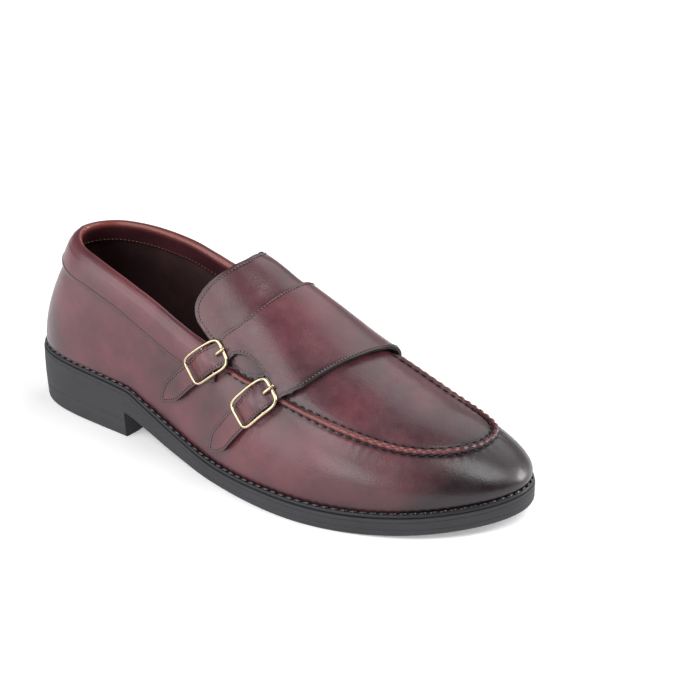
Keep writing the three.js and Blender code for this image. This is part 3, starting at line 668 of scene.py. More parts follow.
class Sheet:
    """A mesh made of grids laid on the last, welded, then thickened and softened at its edges."""

    def __init__(self) -> None:
        """Starts an empty mesh with its outward directions."""
        self.bm = bmesh.new()
        self.bm.verts.layers.float_vector.new("outward")
        for name in ("back", "edge_mm", "dye_and_painted_shade", "highlight_and_raw_edge", "wrinkle"):
            self.bm.verts.layers.float.new(name)
        self.outward = self.bm.verts.layers.float_vector["outward"]
        self.back = self.mark("back")

    def mark(self, name: str) -> Any:
        """The vertex layer of a mark."""
        return self.bm.verts.layers.float[name]

    def patch(self, columns: int, rows: int, place: Callable[[Array, Array], Laid]) -> None:
        """Adds one grid.

        Args:
            columns: Faces along u.
            rows: Faces along v.
            place: Gives points, directions and marks for grid numbers along u and v.
        """
        made = bmesh.ops.create_grid(self.bm, x_segments=columns, y_segments=rows, size=1.0)
        at = np.array([vert.co[:2] for vert in made["verts"]])
        u = np.rint((at[:, 0] + 1) / 2 * columns).astype(int)
        v = np.rint((at[:, 1] + 1) / 2 * rows).astype(int)
        laid = place(u, v)
        for i, vert in enumerate(made["verts"]):
            vert.co = laid.points[i] * MM
            vert[self.outward] = laid.normals[i]
        for name, values in laid.marks.items():
            layer = self.mark(name)
            for vert, value in zip(made["verts"], np.broadcast_to(values, u.shape)):
                vert[layer] = float(value)

    def weld(self, gap: float = 0.02) -> None:
        """Joins points closer than a gap in mm."""
        bmesh.ops.remove_doubles(self.bm, verts=self.bm.verts, dist=gap * MM)

    def edge_distance(self, name: str = "edge_mm") -> None:
        """Marks every point with its distance from the sheet's open edge, in mm."""
        rim = [v.co[:] for v in self.bm.verts if v.is_boundary]
        layer = self.mark(name)
        rim_at = np.array(rim)
        for block in _blocks(list(self.bm.verts), 400):
            at = np.array([v.co[:] for v in block])
            near = np.linalg.norm(at[:, None] - rim_at[None], axis=-1).min(axis=1)
            for vert, value in zip(block, near):
                vert[layer] = float(value) / MM

    def edge_rows(
        self, inset: float, keep: Callable[[Array], Array], lift: float = 0.0
    ) -> list[tuple[Array, Array]]:
        """Lines that run inside the open edge at an even distance, for stitches.

        Args:
            inset: Distance from the edge in mm.
            keep: Says which points in mm stay.
            lift: How far over the surface the line lies.

        Returns:
            Lines as points in mm and outward directions.
        """
        rows: list[tuple[Array, Array]] = []
        tree = _surface_tree(self.bm)
        rim = np.array([v.co[:] for v in self.bm.verts if v.is_boundary]) / MM
        for loop in _boundary_loops(self.bm):
            at = np.array([v.co[:] for v in loop]) / MM
            up = unit(np.array([v[self.outward][:] for v in loop]))
            along = unit(np.roll(at, -1, 0) - np.roll(at, 1, 0))
            inward = unit(np.cross(up, along))
            middle = _inner_side(loop, at, inward)
            line, normals = [], []
            for point, normal in zip(at + inward * middle * inset, up):
                found, _, _, _ = tree.find_nearest(Vector(point * MM))
                spot = np.array(found[:]) / MM
                if np.linalg.norm(rim - spot, axis=1).min() > 0.9 * inset and bool(keep(spot)):
                    line.append(spot + normal * lift)
                    normals.append(normal)
                elif len(line) > 2:
                    rows.append((np.array(line), np.array(normals)))
                    line, normals = [], []
                else:
                    line, normals = [], []
            if len(line) > 2:
                rows.append((np.array(line), np.array(normals)))
        return [_even(line, up) for line, up in rows if len(line) > 5]

    def thicken(self, depth: float | Callable[[Array], Array], rim_slot: int = 1) -> None:
        """Gives the sheet a back side and a rim.

        Args:
            depth: Thickness in mm.
            rim_slot: Material slot of the cut edge.
        """
        made = bmesh.ops.extrude_face_region(self.bm, geom=list(self.bm.faces))
        for vert in (item for item in made["geom"] if isinstance(item, bmesh.types.BMVert)):
            vert.co -= vert[self.outward] * depth * MM
            vert[self.back] = 1.0
        for face in self.bm.faces:
            sides = {round(v[self.back]) for v in face.verts}
            if len(sides) == 2:
                face.material_index = rim_slot

    def soften(self, radius: float = 0.35, segments: int = 2) -> None:
        """Rounds the corners between the faces and the rim."""
        edges = []
        for edge in self.bm.edges:
            slots = {face.material_index for face in edge.link_faces}
            if len(edge.link_faces) == 2 and len(slots) == 2:
                edges.append(edge)
        bmesh.ops.bevel(
            self.bm, geom=edges, offset=radius * MM, offset_type="OFFSET", segments=segments,
            profile=0.5, affect="EDGES", material=-1, clamp_overlap=True,
        )

    def close_ends(self) -> None:
        """Closes open ends with faces."""
        open_edges = [edge for edge in self.bm.edges if edge.is_boundary]
        made = bmesh.ops.holes_fill(self.bm, edges=open_edges, sides=0)
        bmesh.ops.triangulate(self.bm, faces=made["faces"])


def _blocks(items: list[Any], size: int) -> list[list[Any]]:
    """A list cut in blocks."""
    return [items[i : i + size] for i in range(0, len(items), size)]


def _even(line: Array, up: Array) -> tuple[Array, Array]:
    """A sewing line with its small jags drawn out.

    Args:
        line: Points in mm.
        up: Outward directions at them.

    Returns:
        The evened points and directions, one each half millimetre.
    """
    run = run_length(line)
    at = np.linspace(0, run[-1], max(4, int(run[-1] / 0.5)))
    made = np.stack([np.interp(at, run, line[:, c]) for c in range(3)], 1)
    ways = np.stack([np.interp(at, run, up[:, c]) for c in range(3)], 1)
    for _ in range(4):
        made[1:-1] = (made[:-2] + 2 * made[1:-1] + made[2:]) / 4
    return made, unit(ways)


def _surface_tree(bm: bmesh.types.BMesh) -> BVHTree:
    """A tree for the nearest point on a mesh."""
    bm.verts.ensure_lookup_table()
    return BVHTree.FromBMesh(bm)


def _boundary_loops(bm: bmesh.types.BMesh) -> list[list[bmesh.types.BMVert]]:
    """The open edge as closed loops of vertices."""
    bm.edges.index_update()
    left = {edge.index: edge for edge in bm.edges if edge.is_boundary}
    loops = []
    while left:
        edge = left.pop(next(iter(left)))
        start, at = edge.verts
        loop = [start, at]
        while at != start:
            step = next((e for e in at.link_edges if e.index in left), None)
            if step is None:
                break
            del left[step.index]
            at = step.other_vert(at)
            loop.append(at)
        loops.append(loop[:-1] if loop[-1] == loop[0] else loop)
    return loops


def _inner_side(loop: list[bmesh.types.BMVert], at: Array, inward: Array) -> Array:
    """+1 or -1 for each loop point, so that inward times it leads into the sheet."""
    signs = []
    for vert, point, side in zip(loop, at, inward):
        centre = np.mean([face.calc_center_median()[:] for face in vert.link_faces], axis=0) / MM
        signs.append(1.0 if np.dot(centre - point, side) > 0 else -1.0)
    return np.array(signs)[:, None]


@dataclass
class Stitching:
    """A run of sewing: short thread humps along a line."""

    pitch: float
    length: float
    width: float
    height: float
    sink: float = 0.15
    slant: float = 0.0

    def sew(self, bm: bmesh.types.BMesh, line: Array, up: Array) -> int:
        """Adds thread humps along a line.

        Args:
            bm: The mesh that takes them.
            line: Points in mm.
            up: Outward directions at them.

        Returns:
            How many were made.
        """
        run = run_length(line)
        count = int(run[-1] / self.pitch)
        for k in range(count):
            s = (k + 0.5) * run[-1] / count
            centre = np.array([np.interp(s, run, line[:, c]) for c in range(3)])
            ahead = np.array([np.interp(s + 0.4, run, line[:, c]) for c in range(3)])
            before = np.array([np.interp(s - 0.4, run, line[:, c]) for c in range(3)])
            normal = unit(np.array([np.interp(s, run, up[:, c]) for c in range(3)]))
            self._hump(bm, centre + normal * (self.height - self.sink), unit(ahead - before), normal)
        return count

    def _hump(self, bm: bmesh.types.BMesh, centre: Array, along: Array, normal: Array) -> None:
        """One hump of thread: a small flattened ball."""
        side = unit(np.cross(normal, along))
        turned = unit(along * math.cos(self.slant) + side * math.sin(self.slant))
        side = unit(np.cross(normal, turned))
        size = np.array([self.length / 2, self.width / 2, self.height])
        rows = np.stack([turned, side, unit(np.cross(turned, side))], 1) * size * MM
        matrix = Matrix([[*rows[i], centre[i] * MM] for i in range(3)] + [[0, 0, 0, 1]])
        turn = Matrix.Rotation(math.pi / 2, 4, "Y")
        bmesh.ops.create_uvsphere(bm, u_segments=6, v_segments=4, radius=1.0, matrix=matrix @ turn)


def spread(u: Array, ends: tuple[float, float], count: int) -> Array:
    """Grid numbers spread evenly between two values."""
    return ends[0] + (ends[1] - ends[0]) * u / count


@dataclass
class Crease:
    """One soft fold laid over the last, from one place to another."""

    start: tuple[float, float, float]
    end: tuple[float, float, float]
    depth: float
    width: float
    bow: float = 0.0

    def depth_at(self, p: Array) -> Array:
        """How far the fold moves each point, in mm; troughs are below zero.

        Args:
            p: Points in mm.

        Returns:
            The moves.
        """
        a, b = np.array(self.start), np.array(self.end)
        axis = b - a
        length = np.linalg.norm(axis)
        axis = axis / length
        rel = p - a
        t = rel @ axis / length
        across = rel - np.outer(np.clip(t, 0, 1) * length, axis).reshape(rel.shape)
        side = unit(np.cross(axis, np.array([0.0, 0.0, 1.0])))
        bowed = across - side * (self.bow * np.sin(math.pi * np.clip(t, 0, 1)))[..., None]
        d = np.linalg.norm(bowed, axis=-1)
        fade = np.clip(1 - ((t - 0.5) / 0.62) ** 4, 0, 1)
        ridge = np.exp(-(((d - 1.9 * self.width) / self.width) ** 2))
        ripple = np.exp(-((d / self.width) ** 2)) - 0.45 * ridge
        return -self.depth * ripple * fade


@dataclass
class Upper:
    """Vamp, quarters and heel counter as one shaped skin, with its lining inside."""

    wall: float = 1.25
    lining_lift: tuple[float, float] = (-1.4, -2.5)
    front_steps: int = 430
    back_steps: int = 130
    skirt_rows: int = 34
    apron_rows: int = 22
    pucker_height: float = 0.3
    # Soft folds on the outer side: x and height of both ends, depth, half width, bow
    folds: tuple = (
        (19.5, 38.5, 14.5, 29.5, 0.5, 1.3, 0.6), (23.5, 39.5, 19.5, 31, 0.25, 1.2, -0.4),
        (-1.5, 68.5, 7.5, 63.5, 0.35, 0.9, 0.5), (4, 69.5, 12.5, 62.5, 0.45, 1.0, 0.6),
        (10.5, 67.5, 15.5, 61.5, 0.35, 0.9, 0.4),
    )
    # Flex folds across the apron and the inner side: ends in mm, depth, half width, bow
    flexes: tuple[Crease, ...] = (
        Crease((64, -18, 55), (70, 14, 60), 0.16, 2.6, 2.0),
        Crease((74, -16, 53), (79, 16, 57), 0.14, 2.8, 2.0),
        Crease((60, 50, 30), (70, 30, 50), 0.4, 2.4, 1.0),
        Crease((72, 50, 30), (80, 34, 44), 0.3, 2.4, 1.0),
    )

    def __post_init__(self) -> None:
        """Lays the folds of the side view on the last."""
        laid = []
        for x0, z0, x1, z1, depth, width, bow in self.folds:
            ends, _ = wall(np.array([x0, x1]), np.array([z0, z1]), np.zeros(2))
            laid.append(Crease(tuple(ends[0]), tuple(ends[1]), depth, width, bow))
        self.creases = (*laid, *self.flexes)

    def stations(self) -> Array:
        """Turns round the outline, close together in front."""
        limit = 1.7
        front = np.linspace(0, limit, self.front_steps // 2 + 1)
        back = np.linspace(limit, math.pi, self.back_steps // 2 + 1)[1:]
        half = np.concatenate([front, back])
        return np.concatenate([-half[::-1][:-1], half])

    def bead_rise(self, turn: Array, edge: Array) -> Array:
        """Rise of the row that follows the apron's seam, carried on round the heel."""
        inside = BEAD_LINE.rise(np.clip(turn, BEAD_LINE.first, BEAD_LINE.end))
        return np.minimum(inside, edge * 0.6)

    def relief(self, turn: Array, rise: Array) -> Array:
        """Given shape of the skin: puckers, the seam's trough and folds, in mm."""
        d = BEAD_LINE.away(turn, rise)
        s = np.interp(turn, BEAD_LINE.turns, BEAD_LINE.length)
        inside = (turn > BEAD_LINE.first) & (turn < BEAD_LINE.end)
        ends = smooth((turn - BEAD_LINE.first) / 0.12) * smooth((BEAD_LINE.end - turn) / 0.3)
        wave = 0.5 + 0.5 * np.cos(ROUND * s / PUCKER + 0.5 * np.sin(s / 7.3))
        reach = 2.2 + 1.1 * np.sin(s / 11.0) + 0.7 * np.sin(s / 4.1 + 1.3)
        fall = np.exp(-np.clip(-d - 1.2, 0, None) / reach) * smooth((-d - 0.2) / 1.2)
        move = -self.pucker_height * wave * fall * ends * inside
        seam = np.exp(-(((d + 2.1) / 0.8) ** 2)) + 0.6 * np.exp(-(((d - 2.3) / 0.7) ** 2))
        move -= 0.4 * seam * inside * smooth((BEAD_LINE.end + 0.05 - turn) / 0.1)
        p = LAST.point(turn, rise)
        for crease in self.creases:
            move += crease.depth_at(p)
        back = (p[..., 0] < -100) * np.abs(p[..., 1] - 5.0)
        seam_back = np.exp(-((back / 0.7) ** 2)) - 0.4 * np.exp(-(((back - 1.6) / 0.8) ** 2))
        return move - 0.3 * seam_back * (p[..., 0] < -100)

    def build(self, looks: Wardrobe) -> list[bpy.types.Object]:
        """Builds the skin and the lining.

        Args:
            looks: The shoe's finishes.

        Returns:
            The pieces.
        """
        return [self._skin(looks), self._lining(looks)]

    def _skin(self, looks: Wardrobe) -> bpy.types.Object:
        """The outer leather."""
        turns = self.stations()
        edge = LAST.edge_rise(turns, 1.9)
        middle = self.bead_rise(turns, edge)
        rows = self.skirt_rows + self.apron_rows

        def place(u: Array, v: Array) -> Laid:
            turn, top, seam = turns[u], edge[u], middle[u]
            low = v / self.skirt_rows
            high = (v - self.skirt_rows) / self.apron_rows
            rise = np.where(v <= self.skirt_rows, seam * low, seam + (top - seam) * high)
            lift = self.relief(turn, rise)
            p = LAST.skin(turn, rise, lift)
            x, z = p[:, 0], p[:, 2]
            toe = smooth((x - 92) / 42) * 0.92
            front = smooth((x - 5) / 70)
            # Darker toward the welt: partly burnish, partly painted shade where the welt and sole shut out
            # light
            foot = np.exp(-(z - LAST.sole_top(x)) / (3.5 + 5.5 * front)) * (0.8 + 0.15 * front)
            heel = smooth((-x - 118) / 30) * 0.3
            d = BEAD_LINE.away(turn, rise)
            s = np.interp(turn, BEAD_LINE.turns, BEAD_LINE.length)
            on_line = (s > 0) * (s < BEAD_LINE.length[-1])
            # Painted shade on the skin beside the apron seam, at the foot of the bead's rolls
            near = np.exp(-((np.clip(np.abs(d) - 1.6, 0, None) / 1.6) ** 2)) * on_line
            dye_and_painted_shade = np.clip(toe + foot + heel + 0.7 * near, 0, 0.95)
            wrinkle = 0.35 + 0.65 * np.exp(-(((x - 55) / 35) ** 2))
            marks = {"dye_and_painted_shade": dye_and_painted_shade, "wrinkle": wrinkle, "highlight_and_raw_edge": np.zeros(len(x))}
            return Laid(p, LAST.normal(turn, rise), marks)

        sheet = Sheet()
        sheet.patch(len(turns) - 1, rows, place)
        sheet.weld(0.03)
        sheet.thicken(self.wall)
        return finish_piece(sheet.bm, "upper_skin", [looks.calf, looks.edge], Slot.LEATHER, "upper")

    def _lining(self, looks: Wardrobe) -> bpy.types.Object:
        """The lining leather inside the upper."""
        turns = np.linspace(-math.pi, math.pi, 181)
        edge = LAST.edge_rise(turns, 2.2)

        def place(u: Array, v: Array) -> Laid:
            turn = turns[u]
            rise = edge[u] * v / 22
            return Laid(LAST.skin(turn, rise, np.full(len(u), self.lining_lift[0])), LAST.normal(turn, rise))

        sheet = Sheet()
        sheet.patch(180, 22, place)
        sheet.weld(0.03)
        sheet.thicken(self.lining_lift[0] - self.lining_lift[1], 0)
        return finish_piece(sheet.bm, "upper_lining", [looks.lining], Slot.LEATHER)


@dataclass
class CollarBand:
    """The padded strip folded over the topline, sewn along its lower edge."""

    steps: int = 300
    front: float = -9.0
    outer: tuple[float, float] = (0.45, 1.75)
    inner: tuple[float, float] = (-3.75, -2.6)
    inner_depth: float = 12.0
    roll: float = 3.0
    crest: float = 1.4
    stitch: Stitching = field(default_factory=lambda: Stitching(1.3, 0.9, 0.7, 0.3, 0.08))
    inner_stitch: Stitching = field(default_factory=lambda: Stitching(2.3, 1.5, 0.45, 0.25, 0.05))

    def section(self, depth: Array) -> list[tuple[Array, Array, float]]:
        """The fold's outline as rows of height under the topline, lift and how far round it is.

        Args:
            depth: Depth of the band at each station.

        Returns:
            Rows of drop, lift and a number from 0 outside to 1 inside.
        """
        one = np.ones_like(depth)
        low, high = self.outer
        rows = [(depth, low * one, 0.0), (depth, (high - 0.3) * one, 0.0), (depth - 0.3, high * one, 0.0)]
        for k in (0.92, 0.84, 0.76, 0.66, 0.56, 0.46, 0.36, 0.28, 0.22):
            bulge = 0.35 * math.sin(math.pi * (1 - k)) + 0.1
            rows.append((depth * k, (high + bulge) * one, 0.0))
        centre = (high + self.inner[0]) / 2
        half = (high - self.inner[0]) / 2
        for k in range(13):
            angle = math.pi * k / 12
            drop = self.roll - (self.roll + self.crest) * math.sin(angle)
            rows.append((drop * one, (centre + (half + 0.1) * math.cos(angle)) * one, k / 12))
        for k in (0.4, 0.6, 0.8, 0.97):
            rows.append((self.inner_depth * k * one, (self.inner[0] - 0.1) * one, 1.0))
        rows.append((self.inner_depth * one, (self.inner[0] + 0.3) * one, 1.0))
        rows.append((self.inner_depth * one, self.inner[1] * one, 1.0))
        rows.append((3.2 * one, self.inner[1] * one, 1.0))
        rows.append((2.4 * one, (self.inner[1] + 1.0) * one, 0.5))
        rows.append((2.4 * one, (low - 1.0) * one, 0.5))
        rows.append((3.2 * one, low * one, 0.0))
        rows.append((depth * 0.5, low * one, 0.0))
        rows.append(rows[0])
        return rows

    def turns(self) -> Array:
        """Turns from the front end outside round the heel to the front end inside."""
        start = math.acos(self.front / HALF)
        return np.linspace(start, ROUND - start, self.steps + 1)

    def build(self, looks: Wardrobe) -> list[bpy.types.Object]:
        """Builds the band and its stitches.

        Args:
            looks: The shoe's finishes.

        Returns:
            The pieces.
        """
        turns = self.turns()
        top = LAST.point(turns, LAST.edge_rise(turns, 0.0))[:, 2]
        depth = Column(BAND_DEPTH)(HALF * np.cos(turns))
        rows = self.section(depth)
        drops = np.array([row[0] for row in rows])
        lifts = np.array([row[1] for row in rows])
        rounds = np.array([row[2] for row in rows])

        def place(u: Array, v: Array) -> Laid:
            turn, z, lift = turns[u], top[u] - drops[v, u], lifts[v, u]
            rise = LAST.level_rise(turn, z, lift)
            p = LAST.skin(turn, rise, lift)
            round_in = rounds[v]
            # Reddish raw-edge tone with a painted highlight along the inner top of the roll
            highlight_and_raw_edge = np.exp(-(((round_in - 0.72) / 0.16) ** 2)) * 0.6
            low_edge = np.where(drops[v, u] > depth[u] - 0.5, 0.8, 0.0) * (round_in < 0.2)
            dye_and_painted_shade = low_edge + 0.55 * smooth((round_in - 0.8) / 0.2)
            seam = np.where(round_in == 0, (depth[u] - drops[v, u]) * SEAM_MARK / 2.0, 0.0)
            marks = {"highlight_and_raw_edge": highlight_and_raw_edge, "dye_and_painted_shade": dye_and_painted_shade, "wrinkle": np.full(len(z), 0.25), "edge_mm": seam}
            return Laid(p, LAST.normal(turn, rise), marks)

        sheet = Sheet()
        sheet.patch(self.steps, len(rows) - 1, place)
        sheet.weld(0.005)
        sheet.close_ends()
        band = finish_piece(sheet.bm, "collar_band_fold", [looks.calf], Slot.LEATHER, "collar_band")
        return [band, *self._stitches(looks, turns, top, depth)]

    def _stitches(self, looks: Wardrobe, turns: Array, top: Array, depth: Array) -> list[bpy.types.Object]:
        """Rows of thread along the band's lower edge and inside the collar."""
        pieces = []
        inside = np.full(len(top), self.inner_depth - 1.6)
        for name, drop, lift, look, stitch in (
            ("collar_band_stitches", depth - 2.0, self.outer[1] + 0.12, looks.dark_thread, self.stitch),
            ("lining_stitches", inside, self.inner[0] - 0.1, looks.pale_thread, self.inner_stitch),
        ):
            rise = LAST.level_rise(turns, top - drop, np.full(len(top), lift))
            line, up = LAST.skin(turns, rise, np.full(len(top), lift)), LAST.normal(turns, rise)
            bm = bmesh.new()
            stitch.sew(bm, line, up if lift > 0 else -up)
            pieces.append(finish_piece(bm, name, [look], Slot.LEATHER))
        return pieces


@dataclass
class Tongue:
    """The padded flap under the saddle that stands up behind it."""

    lift: float = 2.1
    thick: float = 1.5
    columns: int = 90
    rows: int = 34
    stitch: Stitching = field(default_factory=lambda: Stitching(1.9, 1.15, 0.65, 0.32, 0.02))

    def build(self, looks: Wardrobe) -> list[bpy.types.Object]:
        """Builds the flap and the row of stitches near its edge.

        Args:
            looks: The shoe's finishes.

        Returns:
            The pieces.
        """
        rear, front = Column([(r[0], r[1]) for r in TONGUE]), Column([(r[0], r[2]) for r in TONGUE])

        def place(u: Array, v: Array) -> Laid:
            girth = spread(u, (TONGUE[0][0], TONGUE[-1][0]), self.columns)
            share = (v / self.rows) ** 1.25
            x = rear(girth) + (front(girth) - rear(girth)) * share
            turn, rise = LAST.girth_turn(x, girth)
            lift = self.lift + 0.25 * np.sin(math.pi * np.clip(share * 1.8, 0, 1))
            lift = lift - 2.6 * np.exp(-share / 0.11) * np.exp(-(((girth - 1.13) / 0.13) ** 2))
            dye_and_painted_shade = np.full(len(x), 0.12)
            marks = {"dye_and_painted_shade": dye_and_painted_shade, "highlight_and_raw_edge": np.zeros(len(x)), "wrinkle": np.full(len(x), 0.3)}
            return Laid(LAST.skin(turn, rise, lift), LAST.normal(turn, rise), marks)

        sheet = Sheet()
        sheet.patch(self.columns, self.rows, place)
        sheet.edge_distance()
        edge, dye_mark = sheet.mark("edge_mm"), sheet.mark("dye_and_painted_shade")
        for vert in sheet.bm.verts:
            vert[dye_mark] = min(1.0, vert[dye_mark] + 0.85 * math.exp(-((vert[edge] / 0.7) ** 2)))
            vert[edge] *= SEAM_MARK / 2.0
        rows = sheet.edge_rows(2.0, lambda p: p[0] < 8, 0.0)
        sheet.thicken(self.thick)
        sheet.soften(0.4)
        flap = finish_piece(sheet.bm, "tongue_flap", [looks.calf, looks.edge], Slot.LEATHER, "tongue")
        bm = bmesh.new()
        for line, up in rows:
            self.stitch.sew(bm, line, up)
        return [flap, finish_piece(bm, "tongue_stitches", [looks.dark_thread], Slot.LEATHER)]


# mm toward the strap's tip, how far the strap's middle lies toward the toe
DRIFT = Column(((-12, -3.1), (-8, -2.9), (1.5, -1.5), (12, -0.6), (24, 0.0), (46, 0.0)))


@dataclass
class StrapPlace:
    """Where a strap's buckle sits in the side view, and the way to the strap's tip."""

    name: str
    x: float
    z: float
    to_tip: tuple[float, float]

    def spot(self, along: Array, aside: Array, lift: Array) -> tuple[Array, Array]:
        """Points near the buckle.

        Args:
            along: mm toward the strap's tip.
            aside: mm across the strap, toward the heel positive.
            lift: mm over the last.

        Returns:
            Points in mm and outward directions.
        """
        along, aside, lift = np.broadcast_arrays(*(np.asarray(a, float) for a in (along, aside, lift)))
        aside = aside + DRIFT(along)
        tx, tz = self.to_tip
        return wall(self.x + tx * along + tz * aside, self.z + tz * along - tx * aside, lift)


def wall(x: Array, z: Array, lift: Array) -> tuple[Array, Array]:
    """Points of the outer wall by its side view, with outward directions."""
    turn = np.arccos(np.asarray(x, float) / HALF)
    rise = LAST.rise_at(turn, np.asarray(z, float))
    return LAST.skin(turn, rise, lift), LAST.normal(turn, rise)


REAR_STRAP = StrapPlace("rear", -14.5, 66.2, (-0.687, -0.726))
FRONT_STRAP = StrapPlace("front", 19.5, 54.8, (-0.604, -0.797))
# mm toward the tip, half width, lift of the strap's underside
STRAP_RUN = (
    (-9, 6.2, 2.8), (-7.5, 6.2, 3.1), (-3.5, 6.4, 5), (0, 6.45, 5.6), (3.5, 6.4, 4.9), (7.5, 6.2, 3),
    (11.5, 6.2, 2.2), (18, 6.2, 1.9), (26, 6.1, 1.8), (34.5, 6, 1.8), (40.5, 3.7, 1.8), (45, 0.9, 1.8),
)
# Side view of the saddle's lower edge, x and height, with the notch between the straps
LOWER_EDGE = (
    (-12, 80), (-8.3, 78.2), (-4, 75), (-1, 72.2), (1.4, 70.9), (4, 71.2), (8, 70.8), (13.4, 68.7),
    (18.7, 65.8), (22.8, 63.4), (27, 61.4), (32, 59.8), (37, 59.2),
)


@dataclass
class Saddle:
    """The leather over the instep that ends in two straps on the outer side."""

    lift: float = 4.3
    thick: float = 1.7
    strap_thick: float = 1.5
    rear_columns: int = 14
    notch_columns: int = 16
    front_columns: int = 16
    girths: int = 116
    shoulder_rows: int = 8
    strap_rows: int = 56
    notch_from: float = 0.217
    notch_to: float = 0.641
    stitch: Stitching = field(default_factory=lambda: Stitching(1.9, 1.15, 0.65, 0.32, 0.02))

    def __post_init__(self) -> None:
        """Makes the curves of the edges."""
        self.rear, self.front = Column([r[:2] for r in SADDLE]), Column([(r[0], r[2]) for r in SADDLE])
        marks = np.cumsum([0, self.rear_columns, self.notch_columns, self.front_columns])
        self.columns = int(marks[-1])
        self.shares = np.interp(np.arange(self.columns + 1), marks, (0, self.notch_from, self.notch_to, 1))
        self.join = self._join_girths()

    def build(self, looks: Wardrobe) -> list[bpy.types.Object]:
        """Builds the saddle with its straps and stitches.

        Args:
            looks: The shoe's finishes.

        Returns:
            The pieces.
        """
        sheet = Sheet()
        front = self.rear_columns + self.notch_columns
        sheet.patch(self.columns, self.girths, self._main)
        sheet.patch(self.rear_columns, self.shoulder_rows, self._shoulder(REAR_STRAP, 0, self.rear_columns))
        front_shoulder = self._shoulder(FRONT_STRAP, front, self.front_columns)
        sheet.patch(self.front_columns, self.shoulder_rows, front_shoulder)
        sheet.patch(self.rear_columns, self.strap_rows, self._strap(REAR_STRAP, self.rear_columns))
        sheet.patch(self.front_columns, self.strap_rows, self._strap(FRONT_STRAP, self.front_columns))
        sheet.weld(0.05)
        sheet.edge_distance()
        self._dress(sheet)
        rows = sheet.edge_rows(1.45, lambda p: p[1] < 45)
        sheet.thicken(self.thick)
        sheet.soften(0.35)
        looks_here = [looks.calf, looks.edge]
        saddle = finish_piece(sheet.bm, "saddle_with_straps", looks_here, Slot.LEATHER, "saddle")
        bm = bmesh.new()
        for line, up in rows:
            self.stitch.sew(bm, line, up)
        return [saddle, finish_piece(bm, "saddle_stitches", [looks.dark_thread], Slot.LEATHER)]

    def _dress(self, sheet: Sheet) -> None:
        """Marks the dyed edges; the front edge is dyed black in a band that thins toward the ridge."""
        edge, dye_and_painted_shade = sheet.mark("edge_mm"), sheet.mark("dye_and_painted_shade")
        for vert in sheet.bm.verts:
            x, y, _ = vert.co / MM
            front = float(smooth((x - 33) / 7)) * (1 - 0.6 * float(smooth((y + 22) / 28)))
            vert[dye_and_painted_shade] = min(1.0, vert[dye_and_painted_shade] + 0.92 * math.exp(-((vert[edge] / (0.6 + 2.6 * front)) ** 4)))

    def _marks(self, x: Array) -> dict[str, Array]:
        """Marks of the finish before the edges are dyed."""
        return {"dye_and_painted_shade": np.zeros(len(x)), "highlight_and_raw_edge": np.zeros(len(x)), "wrinkle": np.full(len(x), 0.3)}

    def _join_girths(self) -> Array:
        """Girth of the main part's lower edge at each column; between the straps it is the notch."""
        edge = Column(LOWER_EDGE)
        low, high = np.full(len(self.shares), 0.4), np.full(len(self.shares), 0.7)
        for _ in range(24):
            middle = (low + high) / 2
            x = self.rear(middle) + (self.front(middle) - self.rear(middle)) * self.shares
            turn, rise = LAST.girth_turn(x, middle)
            below = LAST.point(turn, rise)[:, 2] < edge(x)
            low, high = np.where(below, middle, low), np.where(below, high, middle)
        return (low + high) / 2

    def _main(self, u: Array, v: Array) -> Laid:
        """The part over the instep."""
        girth = self.join[u] + (SADDLE[-1][0] - self.join[u]) * v / self.girths
        x = self.rear(girth) + (self.front(girth) - self.rear(girth)) * self.shares[u]
        turn, rise = LAST.girth_turn(x, girth)
        p = LAST.skin(turn, rise, np.full(len(x), self.lift))
        return Laid(p, LAST.normal(turn, rise), self._marks(x))

    def _join_line(self, u: Array) -> tuple[Array, Array]:
        """Station and height of the main part's lower edge."""
        girth = self.join[u]
        x = self.rear(girth) + (self.front(girth) - self.rear(girth)) * self.shares[u]
        turn, rise = LAST.girth_turn(x, girth)
        return x, LAST.point(turn, rise)[:, 2]

    def _shoulder(self, strap: StrapPlace, first: int, count: int) -> Callable[[Array, Array], Laid]:
        """The part that narrows from the saddle into a strap, filled in from its four edges."""
        columns = first + np.arange(count + 1)
        top = np.stack(self._join_line(columns), 1)
        tx, tz = strap.to_tip
        along = STRAP_RUN[0][0]
        aside = STRAP_RUN[0][1] * (1 - 2 * np.arange(count + 1) / count) + DRIFT(along)
        bottom = np.stack([strap.x + tx * along + tz * aside, strap.z + tz * along - tx * aside], 1)
        left = self._side(top[0], bottom[0], strap, "left")
        right = self._side(top[-1], bottom[-1], strap, "right")

        def place(u: Array, v: Array) -> Laid:
            s, t = (u / count)[:, None], (v / self.shoulder_rows)[:, None]
            ruled = top[u] * (1 - t) + bottom[u] * t + left[v] * (1 - s) + right[v] * s
            corners = (top[0] * (1 - s) + top[-1] * s) * (1 - t) + (bottom[0] * (1 - s) + bottom[-1] * s) * t
            at = ruled - corners
            lift = self.lift + (STRAP_RUN[0][2] + self.strap_thick - self.lift) * t[:, 0]
            p, normal = wall(at[:, 0], at[:, 1], lift)
            return Laid(p, normal, self._marks(p))

        return place

    def _side(self, start: Array, end: Array, strap: StrapPlace, which: str) -> Array:
        """One side edge of a shoulder, bending smoothly from the saddle's edge into the strap's.

        Args:
            start: Its upper end.
            end: Its lower end.
            strap: The strap.
            which: left or right in the side view from outside, heel to toe.

        Returns:
            Points by station and height.
        """
        t = np.linspace(0, 1, self.shoulder_rows + 1)[:, None]
        length = np.linalg.norm(end - start)
        middle = end - np.array(strap.to_tip) * length * 0.5
        if strap is REAR_STRAP and which == "right":
            middle = start + np.array([-1.9, -0.6])
        return start * (1 - t) ** 2 + 2 * middle * t * (1 - t) + end * t**2

    def _strap(self, strap: StrapPlace, count: int) -> Callable[[Array, Array], Laid]:
        """One strap from the saddle through its buckle to its pointed tip."""
        half, lift = Column([r[:2] for r in STRAP_RUN]), Column([(r[0], r[2]) for r in STRAP_RUN])

